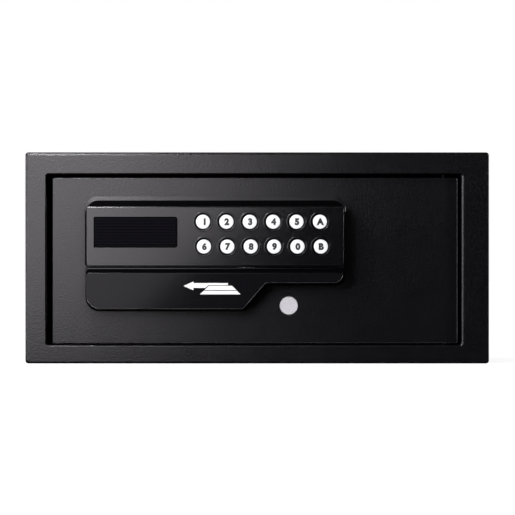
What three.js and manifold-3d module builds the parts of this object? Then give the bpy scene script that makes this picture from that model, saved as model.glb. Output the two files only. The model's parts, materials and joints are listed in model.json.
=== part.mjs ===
// Hotel room safe: a folded steel cabinet with a flush steel door, a keypad and card reader unit on the
// door, two motor-driven locking bolts and a key lock behind a round cap.
// Millimetres. +Z is up, the door faces -Y, and the origin is the centre of the cabinet's underside.
import * as THREE from 'three';
import { mergeVertices } from 'three/addons/utils/BufferGeometryUtils.js';
import Module from 'manifold-3d';

const wasm = await Module();
wasm.setup();

// Fits used all over
const seat = 0.3; // gap between pieces that rest on each other
const smallestRadius = 0.2;
const past = 1; // how far a cutting shape runs past the face that it cuts
const sunk = 0.5; // how far joined shapes reach into each other

// Cabinet
const cabinetWidth = 450;
const cabinetHeight = 205;
const cabinetDepth = 380;
const shellWall = 2;
const shellInnerBend = 1; // inside radius of the four folded edges
const rearPanelWall = 2;
const anchorHole = 6; // radius
const anchorSpacingRear = 280;
const anchorSpacingFloor = 240;
const anchorFloorSetback = 40; // floor holes behind the cabinet's middle
const plugHead = 9.5; // radius
const plugHeadHeight = 2;
const plugHeadEdge = 0.6;
const matThickness = 3;
const matGap = 3; // mat edge to the walls
const matHoleGap = 1;
const matFront = 40; // mat's front edge behind the cabinet's front
const matCorner = 5;

// Front frame around the doorway
const frameWall = 2;
const frameSkirt = 14; // depth of the skirt that meets the shell
const frameFoldInner = 0.5; // inside radius of the outer fold
const lipInner = 1.2; // inside radius of the rolled lip
const lipDepth = 25;
const borderLeft = 22.4; // cabinet's side to the doorway's wall
const borderRight = 27.3;
const borderTop = 22.6;
const borderBottom = 17.9;
const doorwayCorner = 3;

// Door leaf
const doorGapSide = 3.8;
const doorGapTop = 1.9;
const doorRecess = 6; // behind the frame's face
const doorThickness = 4;
const doorCorner = 1.5;
const doorEdge = 0.8; // rounding of the leaf's front edge
const swingClearance = 0.8; // hinge-side corner to the doorway's wall as it passes
const cableHole = 8; // radius, behind the keypad
const cableHoleRise = 28;

// Hinges: fixed pins in the frame, knuckles on the leaf
const pinRadius = 3;
const pinClearance = 0.3;
const pinHead = 5.5; // radius
const pinHeadHeight = 2;
const pinHeadEdge = 0.6;
const pinTaper = 1; // chamfer of a pin's tip
const pinReach = 16; // how far a pin enters its knuckle
const knuckleWall = 1.4; // between the pin hole and the leaf
const knuckleRadius = 7.5;
const knuckleHeight = 20;
const knuckleInset = 2.4; // knuckle's end to the leaf's edge
const bracketLength = 26;
const bracketWidth = 17;
const bracketThickness = 6;
const bracketCorner = 3;

// Door pan and its cover
const panWall = 1.5;
const panInsetLeft = 8.8; // leaf's edge to the pan
const panInsetTop = 7.3;
const panHingeGap = 14; // hinge axis to the pan
const panDepth = 42.4;
const panFlange = 8;
const panCorner = 2.5;
const coverWall = 1.5;

// Locking bolts and their plate
const boltRadius = 7;
const boltLength = 44;
const boltTipInset = 5.3; // withdrawn tip to the leaf's edge
const boltChamfer = 1.5;
const boltSpacing = 80;
const boltThrow = 18;
const boltBehindLeaf = 30; // bolt axis behind the leaf's back
const boltHoleClearance = 0.5;
const boltSlotDepth = 12;
const plateThickness = 3;
const plateBarWidth = 23;
const plateBarOverhang = 8;
const plateArmDepth = 12.5;
const plateLegWidth = 9.4;
const plateLegDrop = 38;
const lighteningHole = 6; // radius
const keeperDepth = 12;
const keeperLength = 130;
const keeperCorner = 2;
const keeperRun = 1.2; // bolt to keeper
const guideLength = 14;
const guideOffsetX = 19.5; // from the leaf's middle
const guideWall = 2;
const guideRun = 0.4;
const guideCheek = 4;

// Rack, pinion and motor
const pinionTeeth = 12;
const pinionRadius = 7.5; // pitch radius
const pressureAngle = THREE.MathUtils.degToRad(20);
const backlash = 0.35;
const rackDrop = 2; // rack's pitch line below the leaf's middle
const rackSpare = 3; // teeth beyond the pinion at each end of the throw
const pinionWidth = 5;
const pinionHub = 4; // radius
const hubProud = 1.5;
const spindleRadius = 2;
const spindleLength = 10;
const motorOffsetX = -57.5; // from the leaf's middle
const motorRadius = 9;
const motorFlat = 7.5; // half the size across the can's flats
const motorLength = 11.4;
const gearboxLength = 26;
const gearboxHeight = 20;
const gearboxDepth = 9;
const gearboxCorner = 2.5;
const gearboxBoss = 4; // radius
const gearboxFloor = 1.5; // closed end of the spindle's bore
const motorWebWidth = 44;
const motorWebHeight = 26;
const motorWebGap = 3; // web to the pinion
const bracketSheet = 2;
const bracketFoot = 8;

// Key lock and its cap
const lockOffsetX = 33.2; // from the leaf's middle
const lockRise = 36.35; // above the leaf's bottom edge
const capRadius = 9.1;
const capGap = 0.4;
const capProud = 1.5;
const capEdge = 0.6;
const capHeadDepth = 3;
const capStub = 3.2;
const barrelLength = 26;
const barrelBore = 6; // radius
const plugTail = 3.9; // radius
const keywayWidth = 1.7;
const keywayHeight = 7;
const keywayDepth = 14;
const nutAcross = 14; // corner radius of the nut
const nutThickness = 4;
const camHub = 6; // radius
const camLength = boltThrow + camHub;
const camHalfWidth = 4;
const camThickness = 3;
const camLead = 0.8; // cam's front face ahead of the bolt plate's
const camRun = 0.8; // cam tip to the bolt plate's leg

// Batteries: four AA cells
const cellRadius = 7.15;
const cellBody = 49;
const cellNub = 1.5;
const cellNubRadius = 2.7;
const cellPitch = 15.2;
const cellTopRoom = 0.4;
const cellCount = 4;
const trayWall = 1.6;
const trayEndRoom = 1.5;
const trayGap = 12; // tray to the pan's side
const trayCorner = 1.5;
const lidThickness = 2;
const lidOverlap = 3;
const lidPlugDepth = 1.2;
const lidRibs = 4;
const lidRibPitch = 5;
const lidRibLength = 24;
const lidRibHeight = 1;
const lidRibWidth = 1.6;

// Control board behind the leaf
const boardThickness = 1.6;
const boardWidth = 76;
const boardHeight = 84;
const boardCorner = 2;
const boardStandoff = 3.4;
const studRadius = 2.5;
const studInset = 6;
const boardRounds = [ // sounder and capacitors: x and z from the board's middle, radius and height
  [-22, -20, 6, 7], [9, -28, 3.2, 9], [18, -28, 3.2, 9], [27, -28, 3.2, 9],
];
const boardBlocks = [ // terminals and chip: left, right, bottom and top from the middle, and height
  [-28, -2, 26, 34, 8], [4, 20, -10, 6, 1.8],
];

// Keypad unit on the door
const unitWidth = 250.4;
const unitOffsetX = -38; // from the leaf's middle
const slotOffsetZ = -6; // card slot from the leaf's middle
const slotWidth = 1.9;
const slotDepth = 15;
const keypadHeight = 57.3;
const keypadProud = 26; // front of the keypad housing from the leaf
const topSlope = 5.9; // how much taller the housing is at its foot
const sideSlope = 0.8;
const footCorner = 12;
const footLowCorner = 1;
const housingCorner = 1.5;
const housingEdge = 0.8;
const housingWall = 2.5;
const gasketThickness = 1;
const gasketWidth = 5;
const gasketInset = 0.6;
const fasciaRim = 1.4;
const fasciaSink = 0.3; // fascia's face behind the rim
const fasciaThickness = 2;
const ledgeWidth = 4;
const ledgeThickness = 3;
const boardClearance = 1; // board and mat to the housing's walls

// Display
const windowKeyGap = 25.7; // window's right edge to the first key's middle
const windowHeight = 28.9;
const windowInsetX = 7.7; // from the unit's left edge
const windowInsetTop = 10.3;
const windowCorner = 2;
const windowSink = 0.6;
const windowThickness = 1.5;
const moduleMargin = 2;

// Keys
const keyRadius = 7.2;
const keyClearance = 0.7;
const keyPitch = 22.6;
const keyRowPitch = 24;
const keyRowShift = 0.9; // lower row stands a little further right
const keyLastX = 24.1; // upper row's last key from the unit's right edge
const keyFirstTop = 14.9; // from the unit's top edge
const keyProud = 1.5;
const keyTravel = 1.5;
const keyEdge = 0.7;
const keyFlange = 8.9; // radius
const keyFlangeThickness = 1;
const keyWall = 1.6;
const keyCrown = 2; // thickness of the key's front
const domeRadius = 4.2;
const domeTop = 3; // radius
const matSheet = 1.4;
const keyNames = [['1', '2', '3', '4', '5', 'a'], ['6', '7', '8', '9', '0', 'b']];

// Card reader housing below the slot
const lipProud = 28;
const lipHeight = 40;
const lipShallow = 15.6; // height of its right-hand part
const lipTabWidth = 154.2;
const lipDiagonal = 19.5;
const lipOuterCorner = 13.6;
const lipInnerCorner = 5;
const lipEndCorner = 9;
const lipTopCorner = 1.2;
const lipBevelHeight = 5;
const lipBevelDepth = 6;
const lipEdge = 1;
const readerSlope = 0.3; // how much wider the housing is at its foot
const headLength = 14;
const headWidth = 7.4;
const headHeight = 7.4;
const headFlange = 2; // ledge under the housing's wall
const headFlangeHeight = 1.5;
const headOffsetX = 30; // from the unit's middle
const headProud = 0.2;

// Cabinet planes
const halfWidth = cabinetWidth / 2;
const frontY = -cabinetDepth / 2;
const backY = cabinetDepth / 2;
const shellBend = shellWall + shellInnerBend;
const frameFold = frameWall + frameFoldInner;
const lipBend = frameWall + lipInner;
const doorwayLeft = -halfWidth + borderLeft;
const doorwayRight = halfWidth - borderRight;
const doorwayBottom = borderBottom;
const doorwayTop = cabinetHeight - borderTop;

// Door planes
const doorLeft = doorwayLeft + doorGapSide;
const doorRight = doorwayRight - doorGapSide;
const doorBottom = doorwayBottom + doorGapTop;
const doorTop = doorwayTop - doorGapTop;
const doorMidX = (doorLeft + doorRight) / 2;
const doorMidZ = (doorBottom + doorTop) / 2;
const doorFront = frontY + doorRecess;
const doorBack = doorFront + doorThickness;

// Hinge axis: set so that the leaf's front corner passes the doorway's wall with the swing clearance
const hingeBehind = doorThickness + seat + pinRadius + pinClearance + knuckleWall;
const hingeSwing = doorGapSide - swingClearance;
const hingeInset = (hingeBehind ** 2 - hingeSwing ** 2) / (2 * hingeSwing);
const hingeX = doorRight - hingeInset;
const hingeY = doorFront + hingeBehind;

// Pan planes
const panLeft = doorLeft + panInsetLeft;
const panRight = hingeX - panHingeGap;
const panBottom = doorBottom + panInsetTop;
const panTop = doorTop - panInsetTop;
const panBack = doorBack + seat + panDepth;
const coverFront = panBack + seat;
const coverBack = coverFront + coverWall;

// Bolt work planes
const boltY = doorBack + boltBehindLeaf;
const boltTipX = doorLeft + boltTipInset;
const boltEndX = boltTipX + boltLength;
const plateFront = boltY - plateThickness / 2;
const plateBack = boltY + plateThickness / 2;
const motorX = doorMidX + motorOffsetX;
const rackPitchZ = doorMidZ - rackDrop;
const pinionZ = rackPitchZ + pinionRadius;
const toothPitch = (2 * Math.PI * pinionRadius) / pinionTeeth;
const addendum = 0.97 * pinionRadius * Math.sin(pressureAngle) ** 2; // short, so the rack clears the roots
const dedendum = addendum + seat;
const armTop = rackPitchZ - dedendum;
const armBottom = armTop - plateArmDepth;

// Key lock planes
const lockX = doorMidX + lockOffsetX;
const lockZ = doorBottom + lockRise;
const lockHole = capRadius + capGap;
const barrelRadius = lockHole - seat;
const capFront = doorFront - capProud;
const barrelFront = capFront + capHeadDepth + seat;
const barrelBack = barrelFront + barrelLength;
const plugFront = barrelFront + capStub + seat;
const legX = lockX + camLength + camRun;

// Battery tray planes
const trayInnerWidth = cellCount * cellPitch + 2 * seat;
const trayX = panRight - panWall - trayGap - trayWall - trayInnerWidth / 2;
const trayInnerHeight = cellBody + cellNub + 2 * trayEndRoom;
const trayInnerDepth = 2 * (cellRadius + seat) + cellTopRoom;
const trayBack = panBack;
const trayFront = trayBack - trayInnerDepth - trayWall;

// Keypad unit planes
const unitMidX = doorMidX + unitOffsetX;
const unitLeft = unitMidX - unitWidth / 2;
const unitRight = unitMidX + unitWidth / 2;
const slotTop = doorMidZ + slotOffsetZ + slotWidth / 2;
const slotBottom = slotTop - slotWidth;
const unitTop = slotTop + keypadHeight;
const gasketBack = doorFront - seat;
const housingBack = gasketBack - gasketThickness - seat;
const keypadFront = doorFront - keypadProud;
const fasciaFront = keypadFront + fasciaSink;
const fasciaBack = fasciaFront + fasciaThickness;
const ledgeFront = fasciaBack + seat;
const ledgeBack = ledgeFront + ledgeThickness;
const keypadMatFront = ledgeBack + seat;
const keypadBoardFront = keypadMatFront + matSheet + seat;
const keyFirstX = unitRight - keyLastX - (keyNames[0].length - 1) * keyPitch;
const windowLeft = unitLeft + windowInsetX;
const windowRight = keyFirstX - windowKeyGap;
const windowTop = unitTop - windowInsetTop;
const windowFront = fasciaFront + windowSink;
const lipFront = doorFront - lipProud;

// Joins the corners of a rectangle into a list of [x, z, corner radius]
function rectangle(left, right, bottom, top, radius) {
  return [[left, bottom, radius], [right, bottom, radius], [right, top, radius], [left, top, radius]];
}

// One corner of an outline after its edges have moved inwards by the inset: outer corners tighten by it
// and inner corners open
function cornerBend(corners, i, inset) {
  const [x, z, radius] = corners[i];
  const [beforeX, beforeZ] = corners.at(i - 1);
  const [afterX, afterZ] = corners[(i + 1) % corners.length];
  const arriving = new THREE.Vector2(x - beforeX, z - beforeZ).normalize();
  const leaving = new THREE.Vector2(afterX - x, afterZ - z).normalize();
  const turn = Math.atan2(arriving.cross(leaving), arriving.dot(leaving));
  const inwards = arriving.angle() + turn / 2 + Math.PI / 2;
  const direction = new THREE.Vector2(Math.cos(inwards), Math.sin(inwards)).divideScalar(Math.cos(turn / 2));
  const point = new THREE.Vector2(x, z).addScaledVector(direction, inset);
  const bend = Math.max(radius - Math.sign(turn) * inset, smallestRadius);
  const run = bend * Math.tan(Math.abs(turn) / 2);
  return { point, direction, turn, heading: arriving.angle(), bend, run };
}

// Points along an outline of corners [x, z, radius], anticlockwise seen from the front. Two bends that
// meet on a short edge share its length.
function outlinePoints(corners, inset = 0, steps = 3) {
  const bends = corners.map((corner, i) => cornerBend(corners, i, inset));
  const room = bends.map((bend, i) => {
    const next = bends[(i + 1) % bends.length];
    return Math.min(1, (0.98 * bend.point.distanceTo(next.point)) / (bend.run + next.run));
  });
  const points = [];
  bends.forEach(({ point, direction, turn, heading, bend }, i) => {
    const side = Math.sign(turn);
    const radius = bend * Math.min(room[i], room.at(i - 1));
    const centre = point.clone().addScaledVector(direction, side * radius);
    for (let step = 0; step <= steps; step += 1) {
      const angle = heading - (side * Math.PI) / 2 + (turn * step) / steps;
      const onBend = new THREE.Vector2(Math.cos(angle), Math.sin(angle)).multiplyScalar(radius);
      points.push(onBend.add(centre));
    }
  });
  return points;
}

// The same outline as a ring of points in the plane at y
function ring(corners, y, inset = 0, steps = 3) {
  return outlinePoints(corners, inset, steps).map((point) => new THREE.Vector3(point.x, y, point.y));
}

// Skin over rings of equal length, from the rearmost to the foremost. An open loft gets flat ends, and a
// closed one runs from its last ring back to its first.
function loft(rings, closed = false) {
  const count = rings[0].length;
  const index = [];
  const bands = closed ? rings.length : rings.length - 1;
  for (let band = 0; band < bands; band += 1) {
    const near = band * count;
    const far = ((band + 1) % rings.length) * count;
    for (let i = 0; i < count; i += 1) {
      const j = (i + 1) % count;
      index.push(near + i, near + j, far + j, near + i, far + j, far + i);
    }
  }
  if (!closed) {
    const last = (rings.length - 1) * count;
    const flat = (points) => points.map((point) => new THREE.Vector2(point.x, point.z));
    for (const [a, b, c] of endTriangles(flat(rings[0]))) index.push(a, c, b);
    for (const [a, b, c] of endTriangles(flat(rings.at(-1)))) index.push(last + a, last + b, last + c);
  }
  const positions = rings.flat().flatMap((point) => point.toArray());
  const geometry = new THREE.BufferGeometry();
  geometry.setAttribute('position', new THREE.Float32BufferAttribute(positions, 3));
  geometry.setIndex(index);
  geometry.computeVertexNormals();
  return geometry;
}

// Triangles that fill an outline, all anticlockwise
function endTriangles(points) {
  return THREE.ShapeUtils.triangulateShape(points, []).map(([a, b, c]) => {
    const turn = points[b].clone().sub(points[a]).cross(points[c].clone().sub(points[a]));
    return turn > 0 ? [a, b, c] : [a, c, b];
  });
}

// Straight block with the given outline, from the plane at front to the plane at back
function block(corners, front, back, inset = 0) {
  return loft([ring(corners, back, inset), ring(corners, front, inset)]);
}

// Such a block whose front edge is rounded
function softBlock(corners, front, back, edge, steps = 3) {
  const rings = [ring(corners, back)];
  for (let step = 0; step <= steps; step += 1) {
    const angle = (step / steps) * (Math.PI / 2);
    rings.push(ring(corners, front + edge * (1 - Math.sin(angle)), edge * (1 - Math.cos(angle))));
  }
  return loft(rings);
}

// Extrudes a shape drawn in x and z from the plane at front to the plane at back
function slab(shape, front, back, curveSegments = 8) {
  return prism(shape, back - front, curveSegments).rotateX(Math.PI / 2).translate(0, back, 0);
}

// Extrudes a shape drawn in x and y upwards from zero
function prism(shape, depth, curveSegments = 8) {
  return new THREE.ExtrudeGeometry(shape, { depth, bevelEnabled: false, curveSegments });
}

// Round bar along y, along z or along x
function barY(x, z, radius, front, back, segments = 28) {
  const bar = new THREE.CylinderGeometry(radius, radius, back - front, segments);
  return bar.translate(x, (front + back) / 2, z);
}

function barZ(x, y, radius, bottom, top, segments = 24) {
  const bar = new THREE.CylinderGeometry(radius, radius, top - bottom, segments).rotateX(Math.PI / 2);
  return bar.translate(x, y, (bottom + top) / 2);
}

function barX(y, z, radius, left, right, segments = 28) {
  const bar = new THREE.CylinderGeometry(radius, radius, right - left, segments).rotateZ(Math.PI / 2);
  return bar.translate((left + right) / 2, y, z);
}

// Box between two corners
function box(left, right, front, back, bottom, top) {
  const geometry = new THREE.BoxGeometry(right - left, back - front, top - bottom);
  return geometry.translate((left + right) / 2, (front + back) / 2, (bottom + top) / 2);
}

// Turned piece about y: the profile's points are [radius, y] and go up on the outside
function turned(profile, segments = 24) {
  return new THREE.LatheGeometry(profile.map(([radius, y]) => new THREE.Vector2(radius, y)), segments);
}

// Solid that can be cut and joined, made of a geometry's merged vertices
function toSolid(geometry) {
  const bare = new THREE.BufferGeometry();
  bare.setAttribute('position', geometry.attributes.position.clone());
  if (geometry.index) bare.setIndex(geometry.index.clone());
  const merged = mergeVertices(bare);
  const triangles = [];
  const corners = merged.index.array;
  for (let i = 0; i < corners.length; i += 3) {
    const [a, b, c] = [corners[i], corners[i + 1], corners[i + 2]];
    if (a !== b && b !== c && c !== a) triangles.push(a, b, c);
  }
  return new wasm.Manifold(new wasm.Mesh({
    numProp: 3,
    vertProperties: Float32Array.from(merged.attributes.position.array),
    triVerts: Uint32Array.from(triangles),
  }));
}

function toGeometry(solid) {
  const { numProp, vertProperties, triVerts } = solid.getMesh();
  const positions = [];
  for (let i = 0; i < vertProperties.length; i += numProp) {
    positions.push(vertProperties[i], vertProperties[i + 1], vertProperties[i + 2]);
  }
  const geometry = new THREE.BufferGeometry();
  geometry.setAttribute('position', new THREE.Float32BufferAttribute(positions, 3));
  geometry.setIndex(Array.from(triVerts));
  const faceted = geometry.toNonIndexed();
  faceted.computeVertexNormals();
  return faceted;
}

function cut(body, ...tools) {
  return toGeometry(tools.reduce((solid, tool) => solid.subtract(toSolid(tool)), toSolid(body)));
}

function join(...pieces) {
  return toGeometry(pieces.slice(1).reduce((solid, piece) => solid.add(toSolid(piece)), toSolid(pieces[0])));
}

// Finishes
const finishes = {
  powderCoat: { color: 0x232225, roughness: 0.55, metalness: 0.1 },
  housingPlastic: { color: 0x1f1e21, roughness: 0.45, metalness: 0 },
  fasciaPlastic: { color: 0x2a292c, roughness: 0.6, metalness: 0 },
  keyPlastic: { color: 0xf2f2f0, roughness: 0.45, metalness: 0 },
  capPlastic: { color: 0xcfcdd2, roughness: 0.6, metalness: 0 },
  smokedWindow: { color: 0x0b0a0d, roughness: 0.12, metalness: 0 },
  innerPlastic: { color: 0x151416, roughness: 0.6, metalness: 0 },
  zincSteel: { color: 0xb4b6b8, roughness: 0.4, metalness: 0.9 },
  brightSteel: { color: 0xc9cbcd, roughness: 0.25, metalness: 1 },
  blackSteel: { color: 0x29292b, roughness: 0.4, metalness: 0.8 },
  brass: { color: 0xc2a15a, roughness: 0.35, metalness: 1 },
  feltMat: { color: 0x3a3a3c, roughness: 0.95, metalness: 0 },
  rubber: { color: 0x18181a, roughness: 0.9, metalness: 0 },
  circuitBoard: { color: 0x1f5a36, roughness: 0.5, metalness: 0 },
  cellSleeve: { color: 0x2f3034, roughness: 0.35, metalness: 0.3 },
  gearPlastic: { color: 0xe6e2d6, roughness: 0.5, metalness: 0 },
};

function piece(name, geometry, finish) {
  const mesh = new THREE.Mesh(geometry, new THREE.MeshStandardMaterial(finishes[finish]));
  mesh.name = name;
  return mesh;
}

function assembly(...members) {
  const group = new THREE.Group();
  group.add(...members);
  return group;
}

const cabinetOutline = rectangle(-halfWidth, halfWidth, 0, cabinetHeight, shellBend);
const doorwayOutline = rectangle(doorwayLeft, doorwayRight, doorwayBottom, doorwayTop, doorwayCorner);
const quarter = (steps) => Array.from({ length: steps + 1 }, (_, step) => (step / steps) * (Math.PI / 2));

// Front frame: one pressing whose outer edge folds back to meet the shell and whose inner edge rolls
// into a deep lip around the doorway
function frontFrameGeometry() {
  const outer = (inset, depth) => ring(cabinetOutline, frontY + depth, inset);
  const lip = (outset, depth) => ring(doorwayOutline, frontY + depth, -outset);
  const rings = [outer(0, frameSkirt)];
  for (const a of quarter(3)) rings.push(outer(frameFold * (1 - Math.cos(a)), frameFold * (1 - Math.sin(a))));
  for (const a of quarter(4)) rings.push(lip(lipBend * (1 - Math.sin(a)), lipBend * (1 - Math.cos(a))));
  rings.push(lip(0, lipDepth), lip(frameWall, lipDepth));
  for (const a of quarter(2).reverse()) {
    rings.push(lip(lipBend - lipInner * Math.sin(a), lipBend - lipInner * Math.cos(a)));
  }
  for (const a of quarter(2).reverse()) {
    rings.push(outer(frameFold - frameFoldInner * Math.cos(a), frameFold - frameFoldInner * Math.sin(a)));
  }
  rings.push(outer(frameWall, frameSkirt));
  const pinHoles = [doorwayBottom - frameWall, doorwayTop].map((bottom) => (
    barZ(hingeX, hingeY, pinRadius + pinClearance, bottom - past, bottom + frameWall + past)
  ));
  return cut(loft(rings, true), ...pinHoles);
}

function shellGeometry() {
  const front = frontY + frameSkirt + seat;
  const rings = [
    ring(cabinetOutline, backY),
    ring(cabinetOutline, front),
    ring(cabinetOutline, front, shellWall),
    ring(cabinetOutline, backY, shellWall),
  ];
  const holes = [-1, 1].map((side) => (
    barZ((side * anchorSpacingFloor) / 2, anchorFloorSetback, anchorHole, -past, shellWall + past)
  ));
  return cut(loft(rings, true), ...holes);
}

function rearPanelGeometry() {
  const front = backY - rearPanelWall;
  const holes = [-1, 1].map((side) => (
    barY((side * anchorSpacingRear) / 2, cabinetHeight / 2, anchorHole, front - past, backY + past)
  ));
  return cut(block(cabinetOutline, front, backY, shellWall + seat), ...holes);
}

// Push-in plug for an anchor hole: its head is inside, and its stem ends flush with the outside
function anchorPlugGeometry(wall) {
  const stem = anchorHole - seat;
  const headFoot = wall + seat;
  const headTop = headFoot + plugHeadHeight;
  return turned([[0, seat], [stem, seat], [stem, headFoot], [plugHead, headFoot],
    [plugHead, headTop - plugHeadEdge], [plugHead - plugHeadEdge, headTop], [0, headTop]], 14);
}

function floorMatGeometry() {
  const side = halfWidth - shellWall - matGap;
  const outline = rectangle(-side, side, frontY + matFront, backY - rearPanelWall - matGap, matCorner);
  const shape = new THREE.Shape(outlinePoints(outline));
  for (const x of [-anchorSpacingFloor / 2, anchorSpacingFloor / 2]) {
    const hole = new THREE.Path();
    hole.absarc(x, anchorFloorSetback, plugHead + matHoleGap, 0, 2 * Math.PI, true);
    shape.holes.push(hole);
  }
  return prism(shape, matThickness, 10).translate(0, 0, shellWall + seat);
}

// Bar between the frame's lip and the cabinet's side, which the bolts reach behind
function boltKeeperGeometry() {
  const left = -halfWidth + shellWall + seat;
  const right = doorwayLeft - frameWall - seat;
  const back = boltY - boltRadius - keeperRun;
  const half = keeperLength / 2;
  const outline = rectangle(left, right, doorMidZ - half, doorMidZ + half, keeperCorner);
  return block(outline, back - keeperDepth, back);
}

// Reinforcing plate behind the lip that holds a hinge pin
function hingeBracketGeometry(bottom) {
  const [halfLength, halfDepth] = [bracketLength / 2, bracketWidth / 2];
  const outline = rectangle(-halfLength, halfLength, -halfDepth, halfDepth, bracketCorner);
  const shape = new THREE.Shape(outlinePoints(outline));
  shape.holes.push(new THREE.Path().absarc(0, 0, pinRadius + pinClearance, 0, 2 * Math.PI, true));
  return prism(shape, bracketThickness, 12).translate(hingeX, hingeY, bottom);
}

// Headed hinge pin, drawn with its tip up and its head's underside at zero
function hingePinGeometry() {
  const throughFrame = bracketThickness + frameWall + 2 * seat;
  const toKnuckle = doorGapTop + knuckleInset;
  const length = throughFrame + toKnuckle + pinReach;
  return turned([[0, -pinHeadHeight], [pinHead - pinHeadEdge, -pinHeadHeight],
    [pinHead, pinHeadEdge - pinHeadHeight], [pinHead, 0], [pinRadius, 0], [pinRadius, length - pinTaper],
    [pinRadius - pinTaper, length], [0, length]], 16).rotateX(Math.PI / 2);
}

function cabinet() {
  const bracketLift = frameWall + seat;
  const lowerBracket = doorwayBottom - bracketLift - bracketThickness;
  const lowerPin = piece('hinge_pin_lower', hingePinGeometry(), 'blackSteel');
  lowerPin.position.set(hingeX, hingeY, lowerBracket - seat);
  const upperPin = piece('hinge_pin_upper', hingePinGeometry().rotateX(Math.PI), 'blackSteel');
  upperPin.position.set(hingeX, hingeY, doorwayTop + bracketLift + bracketThickness + seat);
  const group = assembly(
    piece('cabinet_shell', shellGeometry(), 'powderCoat'),
    piece('front_frame', frontFrameGeometry(), 'powderCoat'),
    piece('rear_panel', rearPanelGeometry(), 'powderCoat'),
    piece('floor_mat', floorMatGeometry(), 'feltMat'),
    piece('bolt_keeper', boltKeeperGeometry(), 'powderCoat'),
    piece('hinge_bracket_upper', hingeBracketGeometry(doorwayTop + bracketLift), 'powderCoat'),
    piece('hinge_bracket_lower', hingeBracketGeometry(lowerBracket), 'powderCoat'),
    upperPin,
    lowerPin,
  );
  for (const [side, word] of [[-1, 'left'], [1, 'right']]) {
    const rear = piece(`anchor_plug_rear_${word}`, anchorPlugGeometry(rearPanelWall), 'rubber');
    rear.rotation.z = Math.PI;
    rear.position.set((side * anchorSpacingRear) / 2, backY, cabinetHeight / 2);
    const floor = piece(`anchor_plug_floor_${word}`, anchorPlugGeometry(shellWall), 'rubber');
    floor.rotation.x = Math.PI / 2;
    floor.position.set((side * anchorSpacingFloor) / 2, anchorFloorSetback, 0);
    group.add(rear, floor);
  }
  return group;
}

// Places of the studs that carry the control board
function studPlaces() {
  const across = boardWidth / 2 - studInset;
  const up = boardHeight / 2 - studInset;
  return [[-1, -1], [1, -1], [1, 1], [-1, 1]].map(([x, z]) => [trayX + x * across, doorMidZ + z * up]);
}

function doorPlateGeometry() {
  const outline = rectangle(doorLeft, doorRight, doorBottom, doorTop, doorCorner);
  const leaf = softBlock(outline, doorFront, doorBack, doorEdge);
  const studs = studPlaces().map(([x, z]) => (
    barY(x, z, studRadius, doorBack - sunk, doorBack + boardStandoff, 12)
  ));
  const [before, behind] = [doorFront - past, doorBack + past];
  const lockOpening = barY(lockX, lockZ, lockHole, before, behind, 28);
  const cableOpening = barY(unitMidX, doorMidZ + cableHoleRise, cableHole, before, behind, 16);
  return cut(join(leaf, ...studs), lockOpening, cableOpening);
}

// Folded pan behind the leaf, with a flange for the cover and holes for the two bolts
function doorPanGeometry() {
  const outline = rectangle(panLeft, panRight, panBottom, panTop, panCorner);
  const pan = loft([
    ring(outline, panBack),
    ring(outline, doorBack + seat),
    ring(outline, doorBack + seat, panWall),
    ring(outline, panBack - panWall, panWall),
    ring(outline, panBack - panWall, panFlange),
    ring(outline, panBack, panFlange),
  ], true);
  const holes = boltHeights().map((z) => (
    barX(boltY, z, boltRadius + boltHoleClearance, panLeft - past, panLeft + panWall + past)
  ));
  return cut(pan, ...holes);
}

function boltHeights() {
  return [doorMidZ - boltSpacing / 2, doorMidZ + boltSpacing / 2];
}

// Mouth of the battery tray in x and z
function trayMouth(extra = 0) {
  const halfAcross = trayInnerWidth / 2 + extra;
  const halfUp = trayInnerHeight / 2 + extra;
  const corner = trayCorner + extra;
  return rectangle(trayX - halfAcross, trayX + halfAcross, doorMidZ - halfUp, doorMidZ + halfUp, corner);
}

function innerCoverGeometry() {
  const outline = rectangle(panLeft, panRight, panBottom, panTop, panCorner);
  return cut(block(outline, coverFront, coverBack), block(trayMouth(), coverFront - past, coverBack + past));
}

// Knuckle welded to the leaf's back: flat where it meets the leaf and round about the pin
function knuckleGeometry(bottom) {
  const shape = new THREE.Shape();
  shape.moveTo(-knuckleRadius, doorBack + seat - hingeY);
  shape.lineTo(knuckleRadius, doorBack + seat - hingeY);
  shape.lineTo(knuckleRadius, 0);
  shape.absarc(0, 0, knuckleRadius, 0, Math.PI, false);
  shape.closePath();
  shape.holes.push(new THREE.Path().absarc(0, 0, pinRadius + pinClearance, 0, 2 * Math.PI, true));
  return prism(shape, knuckleHeight, 12).translate(hingeX, hingeY, bottom);
}

// Hat-shaped bracket that carries the geared motor
function motorBracketGeometry() {
  const web = plateFront - motorWebGap;
  const foot = doorBack + seat;
  const half = motorWebWidth / 2;
  const inner = half - bracketSheet;
  const shape = new THREE.Shape([
    [-half - bracketFoot, foot], [-inner, foot], [-inner, web - bracketSheet], [inner, web - bracketSheet],
    [inner, foot], [half + bracketFoot, foot], [half + bracketFoot, foot + bracketSheet],
    [half, foot + bracketSheet], [half, web], [-half, web], [-half, foot + bracketSheet],
    [-half - bracketFoot, foot + bracketSheet],
  ].map(([x, y]) => new THREE.Vector2(motorX + x, y)));
  const hat = prism(shape, motorWebHeight).translate(0, 0, pinionZ - motorWebHeight / 2);
  return cut(hat, barY(motorX, pinionZ, gearboxBoss + seat, web - bracketSheet - past, web + past));
}

function gearboxGeometry() {
  const back = plateFront - motorWebGap - bracketSheet - seat;
  const front = back - gearboxDepth;
  const outline = rectangle(motorX - gearboxLength / 2, motorX + gearboxLength / 2,
    pinionZ - gearboxHeight / 2, pinionZ + gearboxHeight / 2, gearboxCorner);
  const boss = barY(motorX, pinionZ, gearboxBoss, back - sunk, plateFront - motorWebGap + seat, 16);
  const bore = barY(motorX, pinionZ, spindleRadius + seat, front + gearboxFloor, plateFront, 14);
  return cut(join(block(outline, front, back), boss), bore);
}

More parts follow.
